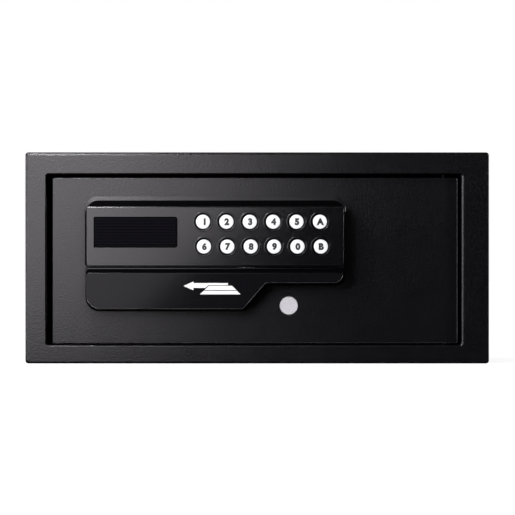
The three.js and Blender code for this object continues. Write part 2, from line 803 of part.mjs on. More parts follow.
function motorCanGeometry() {
  const back = plateFront - motorWebGap - bracketSheet - 2 * seat - gearboxDepth;
  const round = barY(motorX, pinionZ, motorRadius, back - motorLength, back, 16);
  const reach = motorRadius + past;
  const flats = box(motorX - reach, motorX + reach, back - motorLength - past, back + past,
    pinionZ - motorFlat, pinionZ + motorFlat);
  return toGeometry(toSolid(round).intersect(toSolid(flats)));
}

// Channel on the leaf that the bolt plate's arm slides in
function boltGuideGeometry() {
  const floor = plateFront - guideRun;
  const low = armBottom - guideRun;
  const high = armTop + guideRun;
  const lip = plateFront + guideCheek;
  const foot = doorBack + seat;
  const shape = new THREE.Shape([
    [foot, low - guideWall], [foot, low], [floor - guideWall, low], [floor - guideWall, high], [foot, high],
    [foot, high + guideWall], [lip, high + guideWall], [lip, high], [floor, high], [floor, low], [lip, low],
    [lip, low - guideWall],
  ].map(([y, z]) => new THREE.Vector2(y, z)));
  const alongX = new THREE.Matrix4().makeBasis(new THREE.Vector3(0, 1, 0), new THREE.Vector3(0, 0, 1),
    new THREE.Vector3(1, 0, 0));
  const channel = prism(shape, guideLength).applyMatrix4(alongX);
  return channel.translate(doorMidX + guideOffsetX - guideLength / 2, 0, 0);
}

function lockBarrelGeometry() {
  return turned([[barrelBore, barrelFront], [barrelRadius, barrelFront], [barrelRadius, barrelBack],
    [barrelBore, barrelBack], [barrelBore, barrelFront]], 20).translate(lockX, 0, lockZ);
}

function lockNutGeometry() {
  const shape = new THREE.Shape(Array.from({ length: 6 }, (_, i) => (
    new THREE.Vector2(nutAcross * Math.cos((i * Math.PI) / 3), nutAcross * Math.sin((i * Math.PI) / 3))
  )));
  shape.holes.push(new THREE.Path().absarc(0, 0, barrelRadius + seat, 0, 2 * Math.PI, true));
  const front = doorBack + seat;
  return slab(shape, front, front + nutThickness, 12).translate(lockX, 0, lockZ);
}

function batteryTrayGeometry() {
  const outside = block(trayMouth(trayWall), trayFront, trayBack);
  return cut(outside, block(trayMouth(), trayFront + trayWall, trayBack + past));
}

function batteryCellGeometry() {
  return turned([[0, 0], [cellRadius, 0], [cellRadius, cellBody], [cellNubRadius, cellBody],
    [cellNubRadius, cellBody + cellNub], [0, cellBody + cellNub]], 16).rotateX(Math.PI / 2);
}

function batteryCells() {
  const group = new THREE.Group();
  for (let i = 0; i < cellCount; i += 1) {
    const cell = piece(`battery_cell_${i + 1}`, batteryCellGeometry(), 'cellSleeve');
    const upwards = i % 2 === 0;
    const x = (i - (cellCount - 1) / 2) * cellPitch;
    const length = cellBody + cellNub;
    cell.rotation.y = upwards ? 0 : Math.PI;
    cell.position.set(x, 0, upwards ? -length / 2 : length / 2);
    group.add(cell);
  }
  group.position.set(trayX, trayFront + trayWall + seat + cellRadius, doorMidZ);
  return group;
}

// Circuit board with its sounder, terminal block and a few taller parts, all facing the rear
function controlBoardGeometry() {
  const front = doorBack + boardStandoff + seat;
  const back = front + boardThickness;
  const outline = rectangle(trayX - boardWidth / 2, trayX + boardWidth / 2,
    doorMidZ - boardHeight / 2, doorMidZ + boardHeight / 2, boardCorner);
  const rounds = boardRounds.map(([x, z, radius, height]) => (
    barY(trayX + x, doorMidZ + z, radius, back - sunk, back + height, 10)
  ));
  const blocks = boardBlocks.map(([left, right, bottom, top, height]) => (
    box(trayX + left, trayX + right, back - sunk, back + height, doorMidZ + bottom, doorMidZ + top)
  ));
  return join(block(outline, front, back), ...rounds, ...blocks);
}

function doorLeaf() {
  const knuckleTop = doorTop - knuckleInset - knuckleHeight;
  return assembly(
    piece('door_plate', doorPlateGeometry(), 'powderCoat'),
    piece('door_pan', doorPanGeometry(), 'powderCoat'),
    piece('door_inner_cover', innerCoverGeometry(), 'powderCoat'),
    piece('hinge_knuckle_upper', knuckleGeometry(knuckleTop), 'powderCoat'),
    piece('hinge_knuckle_lower', knuckleGeometry(doorBottom + knuckleInset), 'powderCoat'),
    piece('motor_bracket', motorBracketGeometry(), 'zincSteel'),
    piece('gearbox', gearboxGeometry(), 'innerPlastic'),
    piece('motor_can', motorCanGeometry(), 'brightSteel'),
    piece('bolt_guide', boltGuideGeometry(), 'zincSteel'),
    piece('lock_barrel', lockBarrelGeometry(), 'zincSteel'),
    piece('lock_nut', lockNutGeometry(), 'brightSteel'),
    piece('battery_tray', batteryTrayGeometry(), 'innerPlastic'),
    batteryCells(),
    piece('control_board', controlBoardGeometry(), 'circuitBoard'),
  );
}

// Outlines of the keypad housing at its foot and at its front
const keypadFoot = [
  [unitLeft - sideSlope, slotTop, footLowCorner],
  [unitRight + sideSlope, slotTop, footLowCorner],
  [unitRight + sideSlope, unitTop + topSlope, footCorner],
  [unitLeft - sideSlope, unitTop + topSlope, footCorner],
];
const keypadFace = rectangle(unitLeft, unitRight, slotTop, unitTop, housingCorner);

// Moulded shell of the keypad: sloping top, rounded front rim, a seat for the fascia and an open back
function keypadHousingGeometry() {
  const rings = [ring(keypadFoot, housingBack)];
  for (const a of quarter(3)) {
    const depth = keypadFront + housingEdge * (1 - Math.sin(a));
    rings.push(ring(keypadFace, depth, housingEdge * (1 - Math.cos(a))));
  }
  const inside = loft([
    ring(keypadFoot, housingBack + past, housingWall),
    ring(keypadFoot, housingBack, housingWall),
    ring(keypadFace, ledgeBack, housingWall),
  ]);
  const fasciaSeat = block(keypadFace, keypadFront - past, ledgeFront, fasciaRim);
  const mouth = block(keypadFace, keypadFront, ledgeBack + past, fasciaRim + ledgeWidth);
  return cut(loft(rings), inside, fasciaSeat, mouth);
}

const windowOutline = rectangle(windowLeft, windowRight, windowTop - windowHeight, windowTop, windowCorner);

// Places of the twelve keys, with the name of each
function keyPlaces() {
  return keyNames.flatMap((row, level) => row.map((name, column) => ({
    name,
    x: keyFirstX + column * keyPitch + level * keyRowShift,
    z: unitTop - keyFirstTop - level * keyRowPitch,
  })));
}

function fasciaGeometry() {
  const shape = new THREE.Shape(outlinePoints(keypadFace, fasciaRim + seat));
  shape.holes.push(new THREE.Path(outlinePoints(windowOutline)));
  for (const { x, z } of keyPlaces()) {
    shape.holes.push(new THREE.Path().absarc(x, z, keyRadius + keyClearance, 0, 2 * Math.PI, true));
  }
  return slab(shape, fasciaFront, fasciaBack, 10);
}

function windowGeometry() {
  return block(windowOutline, windowFront, windowFront + windowThickness, seat);
}

// Display behind the window: a slim frame standing on the keypad's board
function displayModuleGeometry() {
  const front = windowFront + windowThickness + seat;
  return block(windowOutline, front, keypadBoardFront - seat, -moduleMargin);
}

// Rubber sheet with one contact dome behind each key
function keyMatGeometry() {
  const left = windowRight + 2 * moduleMargin;
  const margin = housingWall + boardClearance;
  const outline = rectangle(left, unitRight - margin, slotTop + margin, unitTop - margin, windowCorner);
  const crown = fasciaBack + keyFlangeThickness;
  const tip = fasciaFront - keyProud + keyCrown + keyTravel + seat;
  const domes = keyPlaces().map(({ x, z }) => (
    turned([[0, tip], [domeTop, tip], [domeRadius, crown], [domeRadius, keypadMatFront + sunk],
      [0, keypadMatFront + sunk]], 8).translate(x, 0, z)
  ));
  return join(block(outline, keypadMatFront, keypadMatFront + matSheet), ...domes);
}

function keypadBoardGeometry() {
  const outline = rectangle(unitLeft, unitRight, slotTop, unitTop, housingCorner);
  return block(outline, keypadBoardFront, keypadBoardFront + boardThickness, housingWall + boardClearance);
}

// Hollow round key: crowned front, a flange behind the fascia and room for the dome
function keyGeometry() {
  const front = fasciaFront - keyProud;
  const flange = fasciaBack + seat;
  const end = flange + keyFlangeThickness;
  const hollow = keyRadius - keyWall;
  return turned([[0, front], [keyRadius - keyEdge, front], [keyRadius, front + keyEdge], [keyRadius, flange],
    [keyFlange, flange], [keyFlange, end], [hollow, end], [hollow, front + keyCrown],
    [0, front + keyCrown]], 20);
}

function keys() {
  const geometry = keyGeometry();
  return keyPlaces().map(({ name, x, z }) => {
    const key = piece(`key_${name}`, geometry.clone(), 'keyPlastic');
    key.position.set(x, 0, z);
    return key;
  });
}

// Outline of the card reader's housing, whose left part reaches lower than its right part
function readerOutline(top) {
  const left = unitLeft - sideSlope;
  const right = unitRight + sideSlope;
  const bottom = slotBottom - lipHeight;
  const shoulder = slotBottom - lipShallow;
  return [
    [left, bottom, lipOuterCorner], [left + lipTabWidth, bottom, lipInnerCorner],
    [left + lipTabWidth + lipDiagonal, shoulder, lipInnerCorner], [right, shoulder, lipEndCorner],
    [right, top, lipTopCorner], [left, top, lipTopCorner],
  ];
}

function headPlace() {
  const middle = (lipFront + lipBevelDepth + housingBack - slotDepth / 2) / 2;
  return { x: unitMidX + headOffsetX, y: middle };
}

// Moulded shell of the card reader: bevelled towards the slot, with a rounded front edge and an open back
function readerHousingGeometry() {
  const low = slotBottom - lipBevelHeight;
  const section = (top, y, inset) => ring(readerOutline(top), y, inset, 5);
  const rings = [
    section(slotBottom, housingBack, -readerSlope),
    section(slotBottom, lipFront + lipBevelDepth, 0),
  ];
  for (const a of quarter(3)) {
    rings.push(section(low, lipFront + lipEdge * (1 - Math.sin(a)), lipEdge * (1 - Math.cos(a))));
  }
  const inside = loft([
    section(slotBottom, housingBack + past, housingWall),
    section(slotBottom, lipFront + lipBevelDepth, housingWall),
    section(low + (lipBevelHeight * housingWall) / (2 * lipBevelDepth), lipFront + housingWall, housingWall),
  ]);
  const { x, y } = headPlace();
  const headWindow = box(x - headLength / 2 - seat, x + headLength / 2 + seat, y - headWidth / 2 - seat,
    y + headWidth / 2 + seat, slotBottom - housingWall - past, slotBottom + past);
  return cut(loft(rings), inside, headWindow);
}

// Strip that closes the rear of the card slot
function cardGuideGeometry() {
  const front = keypadFront + slotDepth;
  const [left, right] = [unitLeft + housingEdge, unitRight - housingEdge];
  return box(left, right, front, housingBack, slotBottom + seat, slotTop - seat);
}

// Read head: it stands a little into the slot and hangs by its ledge under the housing's wall
function magneticHeadGeometry() {
  const { x, y } = headPlace();
  const halfX = headLength / 2;
  const halfY = headWidth / 2;
  const top = slotBottom + headProud;
  const ledgeTop = slotBottom - housingWall - seat;
  const body = box(x - halfX, x + halfX, y - halfY, y + halfY, top - headHeight, top);
  const [ledgeX, ledgeY] = [halfX + headFlange, halfY + headFlange];
  const ledge = box(x - ledgeX, x + ledgeX, y - ledgeY, y + ledgeY, ledgeTop - headFlangeHeight, ledgeTop);
  return join(body, ledge);
}

// Foam gasket between the unit and the leaf, following the foot of both housings
function gasketGeometry() {
  const reader = readerOutline(slotBottom);
  const [right, left, top] = [reader[4][0], reader[5][0], unitTop + topSlope];
  const outline = [...reader.slice(0, 4), [right, top, footCorner], [left, top, footCorner]];
  const shape = new THREE.Shape(outlinePoints(outline, gasketInset));
  shape.holes.push(new THREE.Path(outlinePoints(outline, gasketInset + gasketWidth)));
  return slab(shape, gasketBack - gasketThickness, gasketBack);
}

function keypadUnit() {
  return assembly(
    piece('unit_gasket', gasketGeometry(), 'rubber'),
    piece('keypad_housing', keypadHousingGeometry(), 'housingPlastic'),
    piece('keypad_fascia', fasciaGeometry(), 'fasciaPlastic'),
    piece('display_window', windowGeometry(), 'smokedWindow'),
    piece('display_module', displayModuleGeometry(), 'innerPlastic'),
    piece('key_mat', keyMatGeometry(), 'rubber'),
    piece('keypad_board', keypadBoardGeometry(), 'circuitBoard'),
    ...keys(),
    piece('reader_housing', readerHousingGeometry(), 'housingPlastic'),
    piece('card_guide', cardGuideGeometry(), 'innerPlastic'),
    piece('magnetic_head', magneticHeadGeometry(), 'brightSteel'),
  );
}

// Plate that joins the bolts: a bar, an arm whose top edge carries the rack, and a leg that the key
// lock's cam pushes
function boltPlateGeometry() {
  const barLeft = boltEndX - boltSlotDepth + seat;
  const barRight = barLeft + plateBarWidth;
  const [lowBolt, highBolt] = boltHeights();
  const legRight = legX + plateLegWidth;
  const half = toothPitch / 4 - backlash / 2;
  const rootHalf = half + dedendum * Math.tan(pressureAngle);
  const tipHalf = half - addendum * Math.tan(pressureAngle);
  const points = [
    [barLeft, lowBolt - plateBarOverhang], [barRight, lowBolt - plateBarOverhang], [barRight, armBottom],
    [legX, armBottom], [legX, armBottom - plateLegDrop], [legRight, armBottom - plateLegDrop],
    [legRight, armTop],
  ];
  const lastTooth = Math.ceil(boltThrow / toothPitch) + rackSpare - 2;
  for (let tooth = lastTooth; tooth >= -rackSpare; tooth -= 1) {
    const middle = motorX + (tooth + 0.5) * toothPitch;
    points.push([middle + rootHalf, armTop], [middle + tipHalf, rackPitchZ + addendum]);
    points.push([middle - tipHalf, rackPitchZ + addendum], [middle - rootHalf, armTop]);
  }
  const barTop = highBolt + plateBarOverhang;
  points.push([barRight, armTop], [barRight, barTop], [barLeft, barTop]);
  const shape = new THREE.Shape(points.map(([x, z]) => new THREE.Vector2(x, z)));
  for (const z of [(lowBolt + armBottom) / 2, (highBolt + armTop) / 2]) {
    const hole = new THREE.Path().absarc((barLeft + barRight) / 2, z, lighteningHole, 0, 2 * Math.PI, true);
    shape.holes.push(hole);
  }
  return slab(shape, plateFront, plateBack);
}

// Locking bolt: chamfered tip, and a slot in its end for the plate
function boltGeometry() {
  const bolt = turned([[0, 0], [boltRadius, 0], [boltRadius, boltLength - boltChamfer],
    [boltRadius - boltChamfer, boltLength], [0, boltLength]], 24).rotateZ(Math.PI / 2);
  const slotHalf = plateThickness / 2 + seat;
  return cut(bolt, box(-boltSlotDepth, past, -slotHalf, slotHalf, -boltRadius - past, boltRadius + past));
}

function boltWork() {
  const group = assembly(piece('bolt_plate', boltPlateGeometry(), 'zincSteel'));
  for (const [i, name] of ['bolt_lower', 'bolt_upper'].entries()) {
    const bolt = piece(name, boltGeometry(), 'brightSteel');
    bolt.position.set(boltEndX, boltY, boltHeights()[i]);
    group.add(bolt);
  }
  return group;
}

// Involute outline of the pinion, with a tooth pointing down at the rack
function pinionShape() {
  const involute = (angle) => Math.tan(angle) - angle;
  const baseRadius = pinionRadius * Math.cos(pressureAngle);
  const pitchHalf = (toothPitch / 2 - backlash) / 2 / pinionRadius;
  const halfAngle = (radius) => (
    pitchHalf + involute(pressureAngle) - involute(Math.acos(Math.min(baseRadius / radius, 1)))
  );
  const root = pinionRadius - dedendum;
  const tip = pinionRadius + addendum;
  const radii = [root, baseRadius, ...[1, 2, 3].map((step) => baseRadius + ((tip - baseRadius) * step) / 3)];
  const points = [];
  for (let tooth = 0; tooth < pinionTeeth; tooth += 1) {
    const middle = -Math.PI / 2 + (tooth * 2 * Math.PI) / pinionTeeth;
    const flank = (side) => radii.map((radius) => {
      const angle = middle + side * halfAngle(radius);
      return new THREE.Vector2(radius * Math.cos(angle), radius * Math.sin(angle));
    });
    points.push(...flank(-1), ...flank(1).reverse());
  }
  return new THREE.Shape(points);
}

function drivePinion() {
  const front = boltY - pinionWidth / 2;
  const back = boltY + pinionWidth / 2;
  const gear = slab(pinionShape(), front, back);
  const hub = barY(0, 0, pinionHub, front + sunk, back + hubProud, 16);
  const spindle = barY(0, 0, spindleRadius, front - spindleLength, front + past, 12);
  const pinion = piece('drive_pinion', join(gear, hub, spindle), 'gearPlastic');
  pinion.position.set(motorX, 0, pinionZ);
  return pinion;
}

function lockPlugGeometry() {
  const radius = barrelBore - seat;
  const end = boltY + plateThickness;
  const plug = turned([[0, plugFront], [radius, plugFront], [radius, barrelBack], [plugTail, barrelBack],
    [plugTail, end], [0, end]], 24);
  const keyway = box(-keywayWidth / 2, keywayWidth / 2, plugFront - past, plugFront + keywayDepth,
    -keywayHeight / 2, keywayHeight / 2);
  return cut(plug, keyway);
}

// Cam on the plug's tail, pointing down when the key lock is at rest
function lockCamGeometry() {
  const shape = new THREE.Shape();
  const lean = Math.asin(camHalfWidth / camHub);
  const tipCentre = -(camLength - camHalfWidth);
  shape.moveTo(-camHalfWidth, tipCentre);
  shape.absarc(0, tipCentre, camHalfWidth, Math.PI, 2 * Math.PI, false);
  shape.absarc(0, 0, camHub, -Math.PI / 2 + lean, (3 * Math.PI) / 2 - lean, false);
  shape.closePath();
  shape.holes.push(new THREE.Path().absarc(0, 0, plugTail + seat, 0, 2 * Math.PI, true));
  const front = plateFront - camLead;
  return slab(shape, front, front + camThickness, 9);
}

function overrideLock() {
  const group = assembly(
    piece('lock_plug', lockPlugGeometry(), 'brass'),
    piece('lock_cam', lockCamGeometry(), 'zincSteel'),
  );
  group.position.set(lockX, 0, lockZ);
  return group;
}

// Round cap that is pulled off to reach the keyhole
function keyCover() {
  const stub = barrelBore - seat;
  const back = capFront + capHeadDepth;
  const profile = [[0, capFront]];
  for (const a of quarter(2)) {
    profile.push([capRadius - capEdge * (1 - Math.sin(a)), capFront + capEdge * (1 - Math.cos(a))]);
  }
  profile.push([capRadius, back], [stub, back], [stub, back + capStub], [0, back + capStub]);
  const cap = piece('key_cover', turned(profile, 32), 'capPlastic');
  cap.position.set(lockX, 0, lockZ);
  return cap;
}

// Lid of the battery tray: a plug that enters the cover's opening and finger ribs outside
function batteryLid() {
  const inner = coverBack + seat;
  const outer = inner + lidThickness;
  const lid = block(trayMouth(lidOverlap), inner, outer);
  const plug = block(trayMouth(-2 * seat), inner - lidPlugDepth, inner + sunk);
  const ribs = Array.from({ length: lidRibs }, (_, i) => {
    const z = doorMidZ + trayInnerHeight / 2 - (i + 1) * lidRibPitch;
    const [left, right] = [trayX - lidRibLength / 2, trayX + lidRibLength / 2];
    return box(left, right, outer - sunk, outer + lidRibHeight, z - lidRibWidth, z);
  });
  return piece('battery_cover', join(lid, plug, ...ribs), 'innerPlastic');
}

const safe = assembly(
  cabinet(),
  doorLeaf(),
  keypadUnit(),
  boltWork(),
  drivePinion(),
  overrideLock(),
  keyCover(),
  batteryLid(),
);

export default safe;
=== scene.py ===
"""Looks of the hotel room safe: finer outer pieces, fasteners, printed marks, finishes, lamps and camera.

Sizes are in millimetres until a piece is finished, x to the right, y to the rear and z up.
"""

import json
import math

import bmesh
import bpy
from mathutils import Matrix, Vector

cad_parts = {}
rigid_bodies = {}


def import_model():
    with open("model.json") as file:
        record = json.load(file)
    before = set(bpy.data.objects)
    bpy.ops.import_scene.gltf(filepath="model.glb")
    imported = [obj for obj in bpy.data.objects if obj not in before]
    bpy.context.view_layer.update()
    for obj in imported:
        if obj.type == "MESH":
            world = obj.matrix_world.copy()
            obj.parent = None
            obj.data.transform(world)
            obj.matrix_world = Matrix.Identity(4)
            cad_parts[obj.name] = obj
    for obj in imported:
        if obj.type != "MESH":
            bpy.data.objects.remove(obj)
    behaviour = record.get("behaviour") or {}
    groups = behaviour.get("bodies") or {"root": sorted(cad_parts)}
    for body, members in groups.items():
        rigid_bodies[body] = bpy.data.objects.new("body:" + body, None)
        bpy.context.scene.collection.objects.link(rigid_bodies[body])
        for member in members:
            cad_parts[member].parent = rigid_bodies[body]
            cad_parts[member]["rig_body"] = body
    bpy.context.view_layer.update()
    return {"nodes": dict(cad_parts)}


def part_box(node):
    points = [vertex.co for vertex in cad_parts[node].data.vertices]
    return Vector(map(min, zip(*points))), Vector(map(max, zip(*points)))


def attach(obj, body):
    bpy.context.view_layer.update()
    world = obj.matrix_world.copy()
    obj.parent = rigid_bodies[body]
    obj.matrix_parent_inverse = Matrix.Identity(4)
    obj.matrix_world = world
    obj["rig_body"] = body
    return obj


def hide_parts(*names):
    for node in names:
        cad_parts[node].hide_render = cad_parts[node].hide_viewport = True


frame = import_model()

MM = 0.001

# Photograph's frame: millimetres on the cabinet's front plane
IMAGE_PIXELS = 515
PIXEL = 0.9702
IMAGE_CENTRE_X = 0.3
IMAGE_CENTRE_Z = 102.9
CAMERA_DISTANCE = 6000

# Cabinet and door
OUTER_BEND = 3
FRAME_WALL = 2
FRAME_FOLD = (3.4, 0.9, 2.1, 3.4)  # left, right, bottom, top
FOLD_DEPTH = 2.5
FOLD_STEPS = 8
BEND_LOSS = 1.2  # how much tighter the frame's corners are at its face
FRAME_SKIRT = 14
LIP_ROLL = (1, 3.2, 1.4, 1.2)  # left, right, bottom, top
LIP_DEPTH = 2.4
DOORWAY = (-205, 198.2, 17.9, 183.8)  # left, right, bottom, top
DOORWAY_CORNER = 3
DOOR_GROWTH = 0.5  # of the door's right edge
DOOR_EDGE_ZONE = 1  # how far the rounded edge of the leaf reaches
LEAF_EDGE = 0.8  # this and the next three: widths of rounded edges
WALL_EDGE = 0.3
PAN_EDGE = 0.5
COVER_EDGE = 0.4
OUTER_ZONE = 0.5  # how far from the outside a face of the walls counts as an outer one
RIB_HEIGHTS = (66, 134)
RIB_ENDS = (-165, 66)
RIB_HALF_WIDTH = 4
RIB_CORNER = 3.9
RIB_RISE = ((0, -0.1), (0, 0.05), (0.6, 0.5), (1.6, 0.8))  # inset and height of each line round a rib

# Bolts and screws
BOLT_TIP = ((0, 1.4), (0.15, 1.1), (1.1, 0.15), (1.4, 0))  # depth from the tip and loss of radius there
BOLT_BACK_EDGE = 0.4
BOLT_STEPS = 48
SCREW_RADIUS = 3.2
SCREW_HEIGHT = 2
SCREW_SINK = 0.1
SCREW_RIM = 0.5
SCREW_STEPS = 28
DOME_STEPS = 4
DOME_TURN = math.radians(72)
DOME_LOSS = 0.42  # share of the radius
SOCKET_SHARE = 0.5  # of the screw's radius
SOCKET_DEPTH = 1.2
COVER_SCREW_INSET_X = 9
COVER_SCREW_INSET_Z = 8

# Keypad unit
REST_GAP = 0.3  # between pieces that rest on each other
SIDE_SLOPE = 0.8
TOP_SLOPE = 5.9
FOOT_CORNER = 12
FOOT_LOW_CORNER = 1
FACE_CORNER = 1.5
# Rounded edge of the keypad's face, from its side to its front: (inset of the sides, rise of the top, depth)
FACE_EDGE = ((0, -0.1, 0.8), (0.06, -0.2, 0.5), (0.2, -0.7, 0.24), (0.4, -1.2, 0.07), (0.6, -1.5, 0))
FACE_SIDES = (0.6, 0.8)  # left and right slope of the face's walls
FACE_BOTTOM_SHARE = 0.3  # of the sides' inset
RIM = 1.6
SEAT_GAP = 0.08
LEDGE = 4
LEDGE_THICKNESS = 3
HOUSING_WALL = 2.5
HOUSING_BACK_INSET = 0.4
FOOT_FLANGE = 3.9
FLANGE_SIDE_DIVISOR = 5  # the flange is this many times narrower at the sides than at the top
FLANGE_REACH = 1.3  # from the housing's back to the door
FLANGE_THICKNESS = 1.1
FLANGE_EDGE = 0.3
FLANGE_ZONE = 2  # how far before the door the flange's front faces lie
SHEET_CORNER = 0.4
WINDOW_CORNER = 1.2
WINDOW_RIGHT_GROWTH = 1.5  # how much rounder the window's right corners are
WINDOW_OPENING = (-158.25, -76.8, 112.1, 142.35)  # left, right, bottom, top
WINDOW_EASE = 0.2
WINDOW_EASE_DEPTH = 0.06
PANE_OVERLAP = 0.5
PANE_GAP = 0.05
KEY_STEPS = 40
KEY_RADIUS = 6.85
KEY_FLAT = 5.2  # radius of the flat middle
KEY_CROWN = 0.7
KEY_CROWN_STEPS = 6
KEY_WHITE_DEPTH = 1.2
KEY_ROOF = 2
KEY_BORE = 5.6
KEY_FLANGE = 8.9
KEY_FLANGE_THICKNESS = 1
KEY_HOLE = 8.2
COLLAR = 9.8
COLLAR_HEIGHT = 0.24
COLLAR_STEPS = 8
KEY_ROWS = ("12345a", "67890b")
LEGEND_SIZE = 8.2
LEGEND_SHIFT = 0.4
LEGEND_SHIFT_OF_1 = 1.6
LEGEND_WEIGHT = 0.07  # share of the size
LEGEND_WEIGHT_OF_8 = 0.065  # the 8 closes up at the full weight

# Card reader housing
TAB_WIDTH = 154.2
TAB_DIAGONAL = 22
TAB_LEFT_CORNER = 13.6
TAB_CORNER = 5
SHOULDER = 15.6  # height of the right-hand part
SHOULDER_CORNER = 8.5
TOP_DROP = 0.6
BEVEL_HEIGHT = 5.5
BEVEL_DEPTH = 6
LAND = 1.1  # narrow front-facing strip above the bevel
LAND_EDGE = ((0, 0.5, 0.9), (0.1, 0.03, 0.95), (LAND, 0, 1), (LAND + 0.2, -0.2, 1))  # drop, depth and draft
LAND_ZONE = 0.12  # depth to either side of the land
READER_DRAFT = 1.3
END_DRAFT = 2.4  # how many times the draft of the right-hand end
SHOULDER_DRAFT = 0.3  # share of the draft
BOTTOM_DRAFT = 0.1  # share of the draft
READER_TOP_CORNERS = (3, 1)  # left and right
READER_EDGE = 0.7
READER_EDGE_ZONE = 1
READER_WALL = 1.6
GASKET_LIP = 2.3
GASKET_EDGE = 0.3
GASKET_DIAGONAL_SHARE = 0.4  # of the lip, along the tab's bottom
GASKET_SHOULDER_CORNER = 9
GASKET_TOP_DROP = 2
GASKET_TOP_CORNER = 1
GASKET_LAYERS = ((FLANGE_REACH + 0.25, 0), (0.5, 0), (0.2, GASKET_EDGE))  # depth behind the housing and inset

# Printed arrow over a card: outlines in the photograph's pixels (column, row)
MARK_ORIGIN = (257.2, 363.6)
SWIPE_MARKS = {
    "swipe_arrow": ((183.8, 285.9), (193.7, 290.2), (193.7, 287.9), (205.5, 287.9), (208.7, 285.1),
                    (227.8, 285.1), (228.4, 283.0), (193.7, 283.0), (193.7, 281.5)),
    "swipe_card_upper": ((204.7, 290.0), (236.5, 290.0), (232.2, 285.7), (209.0, 285.7)),
    "swipe_card_lower": ((200.0, 294.3), (240.6, 294.3), (237.1, 290.7), (203.9, 290.7)),
}
PRINT = 0.03  # thickness of a printed mark

# Keyhole cap
CAP_MARGIN = 0.4
CAP_EDGE = 0.7
CAP_EDGE_STEPS = 6
CAP_HEAD = 3
CAP_STUB = 5.7  # radius

# Limits for faces and points
FRONT_FACING = 0.75  # least share of a normal that looks to the front
MERGE_DISTANCE = 0.002

# Sizes in finishes, in metres
LATTICE_STEP = 0.0029
TRACK_STEP = 0.0025
CELL_BAND = (0.1125, 0.1130)  # heights between which a cell's sleeve turns into its lighter band

# Studio, in metres and watts
FLOOR_HALF_SIZE = 20
FLOOR_FLAG = (-0.1, -0.17)  # y between which the floor turns from white to black in reflections
ROOM_TURN = (0.3, 0.8)  # share of a way that leads to the rear, from the black room to the white
SENSOR = 36  # millimetres
GLOSS_TILT = math.radians(47.7)
GLOSS_TINT = (1, 0.965, 1)


def span(node):
    """Lowest and highest corner of a CAD node in millimetres."""
    low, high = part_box(node)
    return low / MM, high / MM


# Shapes


def rectangle(left, right, bottom, top, radius, inset=0):
    """Corners (x, z, radius) of an upright rectangle."""
    left, right, bottom, top = left + inset, right - inset, bottom + inset, top - inset
    bend = max(radius - inset, 0.2)
    return [(left, bottom, bend), (right, bottom, bend), (right, top, bend), (left, top, bend)]


def rounded_loop(bm, corners, y, steps=6):
    """Closed run of edges in the plane at y through the corners, each rounded to its radius."""
    known = set(bm.verts)
    verts = [bm.verts.new((x, y, z)) for x, z, _ in corners]
    bm.faces.new(verts)
    for i, vert in enumerate(verts):
        before, here, after = (Vector(corners[k % len(corners)][:2]) for k in (i - 1, i, i + 1))
        turn = abs((here - before).angle_signed(after - here))
        reach = corners[i][2] * math.tan(turn / 2)
        bmesh.ops.bevel(bm, geom=[vert], offset=reach, offset_type="OFFSET", segments=steps, profile=0.5,
                        affect="VERTICES", material=-1)
    loop = {vert for vert in bm.verts if vert not in known}
    face = next(f for f in bm.faces if set(f.verts) == loop)
    edges = list(face.edges)
    bmesh.ops.delete(bm, geom=[face], context="FACES_ONLY")
    return edges


def chain(bm, loops, closed=False):
    """Joins each loop to the next, and the last to the first where the chain is closed."""
    pairs = list(zip(loops, loops[1:] + loops[:1]))
    for near, far in pairs if closed else pairs[:-1]:
        bmesh.ops.bridge_loops(bm, edges=near + far)


def fill(bm, loop):
    """Closes a run of edges with a face."""
    return bmesh.ops.contextual_create(bm, geom=loop)["faces"][0]


def spun(points, centre, axis, steps=64):
    """Closed shape turned about an axis through the centre."""
    bm = bmesh.new()
    verts = [bm.verts.new(point) for point in points]
    edges = [bm.edges.new(pair) for pair in zip(verts, verts[1:])]
    bmesh.ops.spin(bm, geom=verts + edges, cent=centre, axis=axis, angle=2 * math.pi, steps=steps,
                   use_merge=True)
    return bm


def turned(profile, x, z, steps=64):
    """Closed shape turned about an axis along y; the profile is (radius, y)."""
    return spun([(x + radius, y, z) for radius, y in profile], (x, 0, z), (0, 1, 0), steps)


def soften(bm, width, segments=3, angle=40):
    """Rounds every edge that is sharper than the angle."""
    sharp = [e for e in bm.edges if len(e.link_faces) == 2 and e.calc_face_angle(0) > math.radians(angle)]
    bmesh.ops.bevel(bm, geom=sharp, offset=width, offset_type="OFFSET", segments=segments, profile=0.5,
                    affect="EDGES", clamp_overlap=True, material=-1)


def finished(bm, name, body, material, replaced=()):
    """Turns the shape into a piece in metres."""
    bmesh.ops.remove_doubles(bm, verts=bm.verts, dist=MERGE_DISTANCE)
    bmesh.ops.recalc_face_normals(bm, faces=bm.faces)
    bmesh.ops.scale(bm, vec=(MM, MM, MM), verts=bm.verts)
    mesh = bpy.data.meshes.new(name)
    bm.to_mesh(mesh)
    bm.free()
    return placed(mesh, name, body, material, replaced)


def repainted(piece, material, chosen):
    """Gives the chosen faces of a piece another finish."""
    piece.data.materials.append(material)
    for face in piece.data.polygons:
        if chosen(face):
            face.material_index = len(piece.data.materials) - 1


def wall(face):
    """Whether a face looks more to a side than to the front."""
    return face.normal.y > -FRONT_FACING


def placed(mesh, name, body, material, replaced=()):
    """Makes an object of a finished mesh and puts it on its body."""
    mesh.polygons.foreach_set("use_smooth", [True] * len(mesh.polygons))
    mesh.set_sharp_from_angle(angle=math.radians(35))
    mesh.materials.clear()
    mesh.materials.append(material)
    piece = bpy.data.objects.new(name, mesh)
    bpy.context.scene.collection.objects.link(piece)
    piece.modifiers.new("even_shading", "WEIGHTED_NORMAL").keep_sharp = True
    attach(piece, body)
    if replaced:
        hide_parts(*replaced)
    return piece


# Shader groups and finishes


